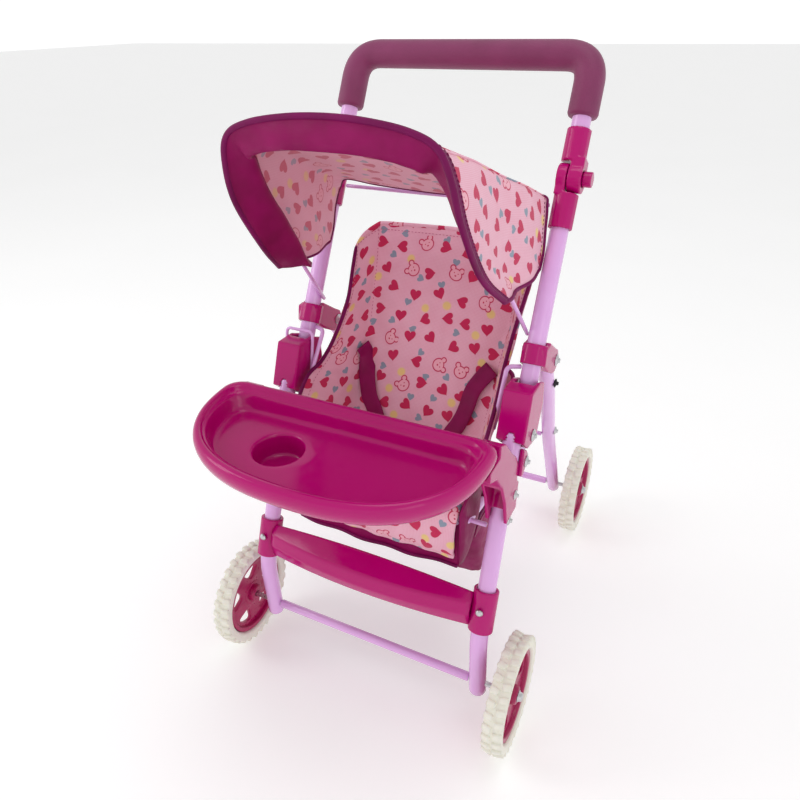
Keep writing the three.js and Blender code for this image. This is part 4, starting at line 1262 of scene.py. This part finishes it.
wing_piping = new_piece("seat_wing_piping", *together(*[
    round_bar([seat_surface(u, j / 60) + Vector((0, 0.001, 0)) for j in range(61)], 0.0019, 12) for u in (0, 1)]), BINDING)
rides_on_seat_back(wing_piping)
top_hem = new_piece("seat_back_top_hem", *round_bar(
    [seat_surface(i / 80, 0) + Vector((0, 0.0018, -0.0008)) for i in range(81)], 0.0024, 12), PRINT)
rides_on_seat_back(top_hem)

# ---- stitches ----
# Short thread stitches sewn a few millimetres inside the hems and along the creases.


def stitch_tree():
    tree = bpy.data.node_groups.new("sewn_stitches", "GeometryNodeTree")
    face = tree.interface
    face.new_socket("Geometry", in_out="INPUT", socket_type="NodeSocketGeometry")
    for name, kind, value in (("Pitch", "NodeSocketFloat", 0.0036), ("Stitch size", "NodeSocketVector", (0.0012, 0.0004, 0.0004)),
                              ("Thread", "NodeSocketMaterial", None)):
        socket = face.new_socket(name, in_out="INPUT", socket_type=kind)
        if value is not None:
            socket.default_value = value
    face.new_socket("Geometry", in_out="OUTPUT", socket_type="NodeSocketGeometry")
    given = node(tree, "NodeGroupInput").outputs
    out = node(tree, "NodeGroupOutput")
    line = node(tree, "GeometryNodeMeshToCurve", {"Mesh": given["Geometry"]})
    spots = node(tree, "GeometryNodeCurveToPoints", {"Curve": line.outputs[0], "Length": given["Pitch"]}, mode="LENGTH")
    along = node(tree, "FunctionNodeAlignRotationToVector", {"Vector": spots.outputs["Tangent"]}, axis="X")
    bead = node(tree, "GeometryNodeMeshUVSphere", {"Segments": 6, "Rings": 4, "Radius": 1.0})
    put = node(tree, "GeometryNodeInstanceOnPoints", {
        "Points": spots.outputs["Points"], "Instance": bead.outputs["Mesh"], "Rotation": along.outputs[0],
        "Scale": given["Stitch size"]})
    solid = node(tree, "GeometryNodeRealizeInstances", {"Geometry": put.outputs[0]})
    thread = node(tree, "GeometryNodeSetMaterial", {"Geometry": solid.outputs[0], "Material": given["Thread"]})
    tree.links.new(thread.outputs[0], out.inputs[0])
    return tree


STITCHES = stitch_tree()


def sewn(name, lines, thread):
    """A row of stitches along each line."""
    points, edges = [], []
    for line in lines:
        edges += [(len(points) + i, len(points) + i + 1) for i in range(len(line) - 1)]
        points += list(line)
    return made_plain(name, STITCHES, {"Thread": thread}, points, edges)


def on_seat(u, v, lift=0.0012):
    step = 0.004
    across = seat_surface(u + step, v) - seat_surface(u - step, v)
    down = seat_surface(u, min(v + step, 1)) - seat_surface(u, max(v - step, 0))
    return seat_surface(u, v) + across.cross(down).normalized() * lift


ROSE_THREAD = satin_cloth("rose_thread", (0.55, 0.10, 0.22), (0.70, 0.20, 0.33))
seat_stitches = sewn("seat_back_stitches", [
    *[[on_seat(u, 0.02 + 0.95 * j / 60, 0.0004) for j in range(61)] for u in CREASES],
    [on_seat(0.03 + 0.94 * i / 60, 0.035) for i in range(61)],
    *[[on_seat(u, 0.03 + 0.94 * j / 60) for j in range(61)] for u in (0.028, 0.972)]], ROSE_THREAD)
rides_on_seat_back(seat_stitches)


def over_canopy(u, v, lift):
    step = 0.004
    across = canopy_surface(u + step, v) - canopy_surface(u - step, v)
    down = canopy_surface(u, v + step) - canopy_surface(u, v - step)
    return canopy_surface(u, v) + across.cross(down).normalized() * lift


canopy_stitches = sewn("canopy_stitches", [
    [over_canopy(0.01 + 0.98 * i / 140, 0.0085 / canopy_width(0.01 + 0.98 * i / 140), 0.0012) for i in range(141)],
    [over_canopy(0.02 + 0.96 * i / 140, 1 - 0.006 / canopy_width(0.02 + 0.96 * i / 140), 0.0002) for i in range(141)],
], SATIN)
rides_on_canopy(canopy_stitches)

rides_on_seat_back(seat_pad)
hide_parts("seat_back")

# ---- back pocket ----
# A sagging pocket of the same cloth sewn behind the back, its top edge bound in plum.
pocket_top = smooth_line([at(*p) for p in ((-86, 133, 288), (-80, 150, 299), (-45, 158, 303), (0, 159, 301), (45, 158, 303),
                                           (80, 150, 299), (86, 133, 288))])
pocket_foot = smooth_line([at(*p) for p in ((-72, 112, 232), (-66, 118, 228), (-40, 122, 226), (0, 123, 225), (40, 122, 226),
                                            (66, 118, 228), (72, 112, 232))])


def pocket_surface(u, v):
    u, v = min(max(u, 0.0), 1.0), min(max(v, 0.0), 1.0)
    p = pocket_top(1 - u).lerp(pocket_foot(1 - u), v)
    belly = math.sin(math.pi * v) * math.sin(math.pi * u) ** 0.5
    p.y += 0.007 * belly + 0.0012 * belly * math.sin(14 * u)
    p.z -= 0.002 * math.sin(math.pi * u) * (1 - v)
    return p


pocket = new_piece("back_pocket", *cloth_shell(pocket_surface, 60, 24, 0.0009)[:2], PRINT,
                   cloth_shell(pocket_surface, 60, 24, 0.0009)[2])
rides_on_seat_back(pocket)
pocket_binding = new_piece("back_pocket_binding", *round_bar(
    [pocket_surface(i / 60, 0) for i in range(61)], 0.0021, 12), BINDING)
rides_on_seat_back(pocket_binding)
cut_size(pocket_surface)

# ---- seat bottom and front drop ----
# A foam pad sewn into the same cloth; its front edge falls over the seat rail as a short valance, with
# plum gussets at both sides.
seat_line = smooth_line([at(0, y, z) for y, z in (
    (101, 229), (80, 224), (55, 223), (34, 228), (20, 228.5), (12.5, 221), (10.5, 205), (11.5, 190), (14, 177))])


def bottom_surface(u, v):
    u, v = min(max(u, 0.0), 1.0), min(max(v, 0.0), 1.0)
    x = 82 * (1 - 2 * u)
    p = seat_line(v)
    crown = 1 - (x / 82) ** 2
    rear = min(1, max(0, (0.62 - v) / 0.3))
    drop = min(1, max(0, (v - 0.6) / 0.25))
    p.x = x / 1000 * (1 - 0.03 * drop)
    p.z -= 0.004 * crown * rear
    p.y -= 0.0018 * drop * crown + 0.0016 * drop * math.sin(x / 9.5) * (v - 0.5) + 0.0008 * drop * math.sin(x / 4.1 + 20 * v)
    p.z += 0.0009 * rear * math.sin(x / 13 + 9 * v)
    return p


seat_cushion = new_piece("seat_bottom_cushion", *puffed(bottom_surface, 48, 40, 0.0045, 0.0018, ())[:2], PRINT,
                         puffed(bottom_surface, 48, 40, 0.0045, 0.0018, ())[2])
blown_up(seat_cushion, 48, 40, (), 0.005)
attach(seat_cushion, "front_frame")
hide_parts("seat_bottom")
drop_hem = new_piece("seat_drop_hem", *round_bar([bottom_surface(i / 60, 1) + Vector((0, 0.0022, 0)) for i in range(61)], 0.0026, 12),
                     PRINT)
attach(drop_hem, "front_frame")


def gusset_surface(side_sign):
    top_line = smooth_line([at(side_sign * x, y, z) for x, y, z in (
        (83.5, 13, 226), (85.5, 24, 238), (87, 40, 236), (85, 66, 232), (78, 92, 234))])
    low_line = smooth_line([at(side_sign * x, y, z) for x, y, z in (
        (82.5, 17, 165), (85, 26, 167), (85.5, 44, 180), (82, 66, 200), (77, 90, 220))])

    def surface(u, v):
        u, v = min(max(u, 0.0), 1.0), min(max(v, 0.0), 1.0)
        p = top_line(u).lerp(low_line(u), v)
        p.x += side_sign * 0.0022 * math.sin(math.pi * v) * math.sin(math.pi * u) * (1 + 0.5 * math.sin(15 * u))
        return p

    return surface


for side, word in HANDS:
    surface = gusset_surface(side)
    gusset = new_piece(f"seat_gusset_{word}", *cloth_shell(surface, 24, 14, 0.0010)[:2], SATIN)
    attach(gusset, "front_frame")
    cut_size(surface, 12, 12)

def underlay_surface(u, v):
    """The plum lining behind the printed drop; it hangs lower and shows as a band beneath it."""
    u, v = min(max(u, 0.0), 1.0), min(max(v, 0.0), 1.0)
    x = 83 * (1 - 2 * u)
    slack = math.sin(math.pi * u)
    return at(x, 20 - 3.5 * v - 1.5 * slack * v + 1.2 * v * math.sin(x / 8), 212 - 46 * v - 2.5 * slack * v)


underlay = new_piece("seat_drop_lining", *cloth_shell(underlay_surface, 60, 16, 0.0012)[:2], SATIN)
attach(underlay, "front_frame")
underlay_hem = new_piece(
    "seat_drop_lining_hem", *round_bar([underlay_surface(i / 60, 1) for i in range(61)], 0.0018, 12), BINDING)
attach(underlay_hem, "front_frame")
cut_size(underlay_surface)

# ---- harness ----
# Flat plum webbing straps come out of both creases, run down the back and clip together in the middle.


def webbing(lines, width, thickness=0.0014):
    """Flat straps: each line is points with the direction that the strap faces."""
    shapes = []
    for line in lines:
        rings = []
        for i, (p, facing_way) in enumerate(line):
            way = (line[min(i + 1, len(line) - 1)][0] - line[max(i - 1, 0)][0]).normalized()
            across = way.cross(facing_way).normalized()
            lift = across.cross(way).normalized()
            if lift.dot(facing_way) < 0:
                lift = -lift
            w, t = width / 2, thickness / 2
            rings.append([p + across * a * w + lift * b * t for a, b in (
                (-1, -0.5), (-0.96, -1), (-0.5, -1), (0, -1), (0.5, -1), (0.96, -1), (1, -0.5), (1, 0.5), (0.96, 1),
                (0.5, 1), (0, 1), (-0.5, 1), (-0.96, 1), (-1, 0.5))])
        shapes.append(lofted(rings))
    return together(*shapes)


def strap_on_back(x, z):
    """A place on the front of the seat back, from its side distance and height in mm."""
    knots = np.array([419, 394, 360, 325, 290, 252, 238, 233])
    v = float(np.interp(-z, -knots, np.arange(8) / 7))
    crease = back_crease(v).x * 1000
    if abs(x) <= crease:
        s = abs(x) / crease * CREASE_AT
    else:
        s = CREASE_AT + (abs(x) - crease) / 20 * (1 - CREASE_AT)
    u = 0.5 - math.copysign(s / 2, x)
    return on_seat(u, v, 0.0052), (on_seat(u, v, 0.01) - on_seat(u, v, 0)).normalized()


def softened(line, steps=40):
    places = smooth_line([p for p, _ in line], 12)
    faces_way = smooth_line([w for _, w in line], 12)
    return [(places(i / steps), faces_way(i / steps).normalized()) for i in range(steps + 1)]


UP = Vector((0, -0.2, 1)).normalized()
left_strap = [strap_on_back(x, z) for x, z in ((-74, 303), (-70, 292), (-63, 276), (-56, 260), (-47, 248))]
left_strap += [(at(-33, 93, 234), UP), (at(-18, 82, 230.5), UP), (at(-7, 74, 229.5), UP)]
right_strap = [strap_on_back(x, z) for x, z in ((66, 303), (58, 293), (51, 281), (49, 268), (46, 256), (40, 246))]
right_strap += [(at(31, 94, 234.5), UP), (at(18, 83, 230.5), UP), (at(7, 74, 229.5), UP)]
crotch_strap = [(at(0, 30, 230.5), UP), (at(0, 46, 229), UP), (at(0, 62, 228.5), UP)]
straps = new_piece("harness_straps", *webbing([softened(left_strap), softened(right_strap)], 0.0165), SATIN)
rides_on_seat_back(straps)
crotch = new_piece("harness_crotch_strap", *webbing([softened(crotch_strap, 16)], 0.0165), SATIN)
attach(crotch, "front_frame")
buckle_rings = []
for x_share in (-1, -0.92, -0.6, 0, 0.6, 0.92, 1):
    grow = 0.82 if abs(x_share) == 1 else 1
    outline_of_buckle = rounded_profile([(-9 * grow, -2.6 * grow), (9 * grow, -2.6 * grow), (10 * grow, 0), (9 * grow, 3.2 * grow),
                                         (-9 * grow, 3.2 * grow), (-10 * grow, 0)], 1.6, 3)
    buckle_rings.append([at(x_share * 11, 70 + y, 231 + z) for y, z in outline_of_buckle])
buckle = new_piece("harness_buckle", *lofted(buckle_rings), MAGENTA)
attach(buckle, "front_frame")

# ---- basket ----
# An open plum bag hung from the seat rail's two arms by webbing loops; its floor and walls sag.
BASKET_TOP, BASKET_FLOOR = 172, 87


def basket_outline(z, inset, shrink=1.0):
    share = (z - BASKET_FLOOR) / (BASKET_TOP - BASKET_FLOOR)
    share = min(max(share, 0), 1)
    belly = 3.0 * math.sin(math.pi * share)
    half_x = 78 + belly - inset - 0.5 * (1 - share)
    front, back = 97 + (62 - 97) * share - belly * 0.7 + inset, 146 + (158 - 146) * share + belly * 0.7 - inset
    middle, half_y, corner = (front + back) / 2, (back - front) / 2, 9
    ring = []
    for k in range(96):
        angle = 2 * math.pi * k / 96
        c, s = math.cos(angle), math.sin(angle)
        x = math.copysign(abs(c) ** 0.28, c) * half_x
        y = math.copysign(abs(s) ** 0.28, s) * half_y
        ring.append((x * shrink, middle + y * shrink, k))
    return ring


def basket_ring(z, inset, shrink=1.0, sag=0.0):
    ring = []
    for x, y, k in basket_outline(z, inset, shrink):
        slack = 2.0 * math.sin(6 * math.pi * k / 96) ** 2 if z > BASKET_TOP - 20 else 0.8 * math.sin(k * 0.9 + z * 0.1)
        ring.append(at(x, y, z - sag * (1 - shrink ** 2) - (slack if z > BASKET_TOP - 20 else slack * 0.4)))
    return ring


basket_rings = [basket_ring(BASKET_FLOOR, 0, s, 2.0) for s in (0.04, 0.3, 0.6, 0.85, 0.96)]
basket_rings += [basket_ring(z, 0) for z in (88.5, 92, 100, 112, 126, 140, 152, 162, 169, 172)]
basket_rings += [basket_ring(z, 1.4) for z in (172.4, 169, 162, 152, 140, 126, 112, 100, 92, 89.6)]
basket_rings += [basket_ring(BASKET_FLOOR + 1.4, 1.4, s, 2.0) for s in (0.96, 0.85, 0.6, 0.3, 0.04)]
bag_cloth = new_piece("basket_bag", *lofted(basket_rings), SATIN)


def squashes_with_rail(piece):
    """Fixes the piece to the seat frame with a mesh of its own."""
    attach(piece, "seat_frame")
    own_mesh(piece)


squashes_with_rail(bag_cloth)
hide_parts("basket")
rim_path = basket_ring(171.5, 0.7)
basket_hem = new_piece("basket_hem", *round_bar(rim_path + [rim_path[0]], 0.0022, 12), BINDING)
squashes_with_rail(basket_hem)


def rail_height(y):
    return 210 - (y - 22) * 27 / 218


hangers = []
for side in (-1, 1):
    out = Vector((side, 0, 0))
    for y in (76, 112, 148):
        z = rail_height(y)
        loop = [(79.5, 158, 1, 0), (83, 176, 1, 0.1), (91.4, z - 3, 1, 0), (91, z + 2, 0.9, 0.5), (86, z + 5, 0, 1),
                (81, z + 2, -0.9, 0.5), (80.4, z - 3, -1, 0), (77.5, 176, -1, 0), (76, 159, -1, 0)]
        hangers.append(softened([(at(side * x, y, h), Vector((side * wx, 0, wz)).normalized()) for x, h, wx, wz in loop], 36))
hanger_loops = new_piece("basket_hanger_loops", *webbing(hangers, 0.016, 0.0012), SATIN)
squashes_with_rail(hanger_loops)
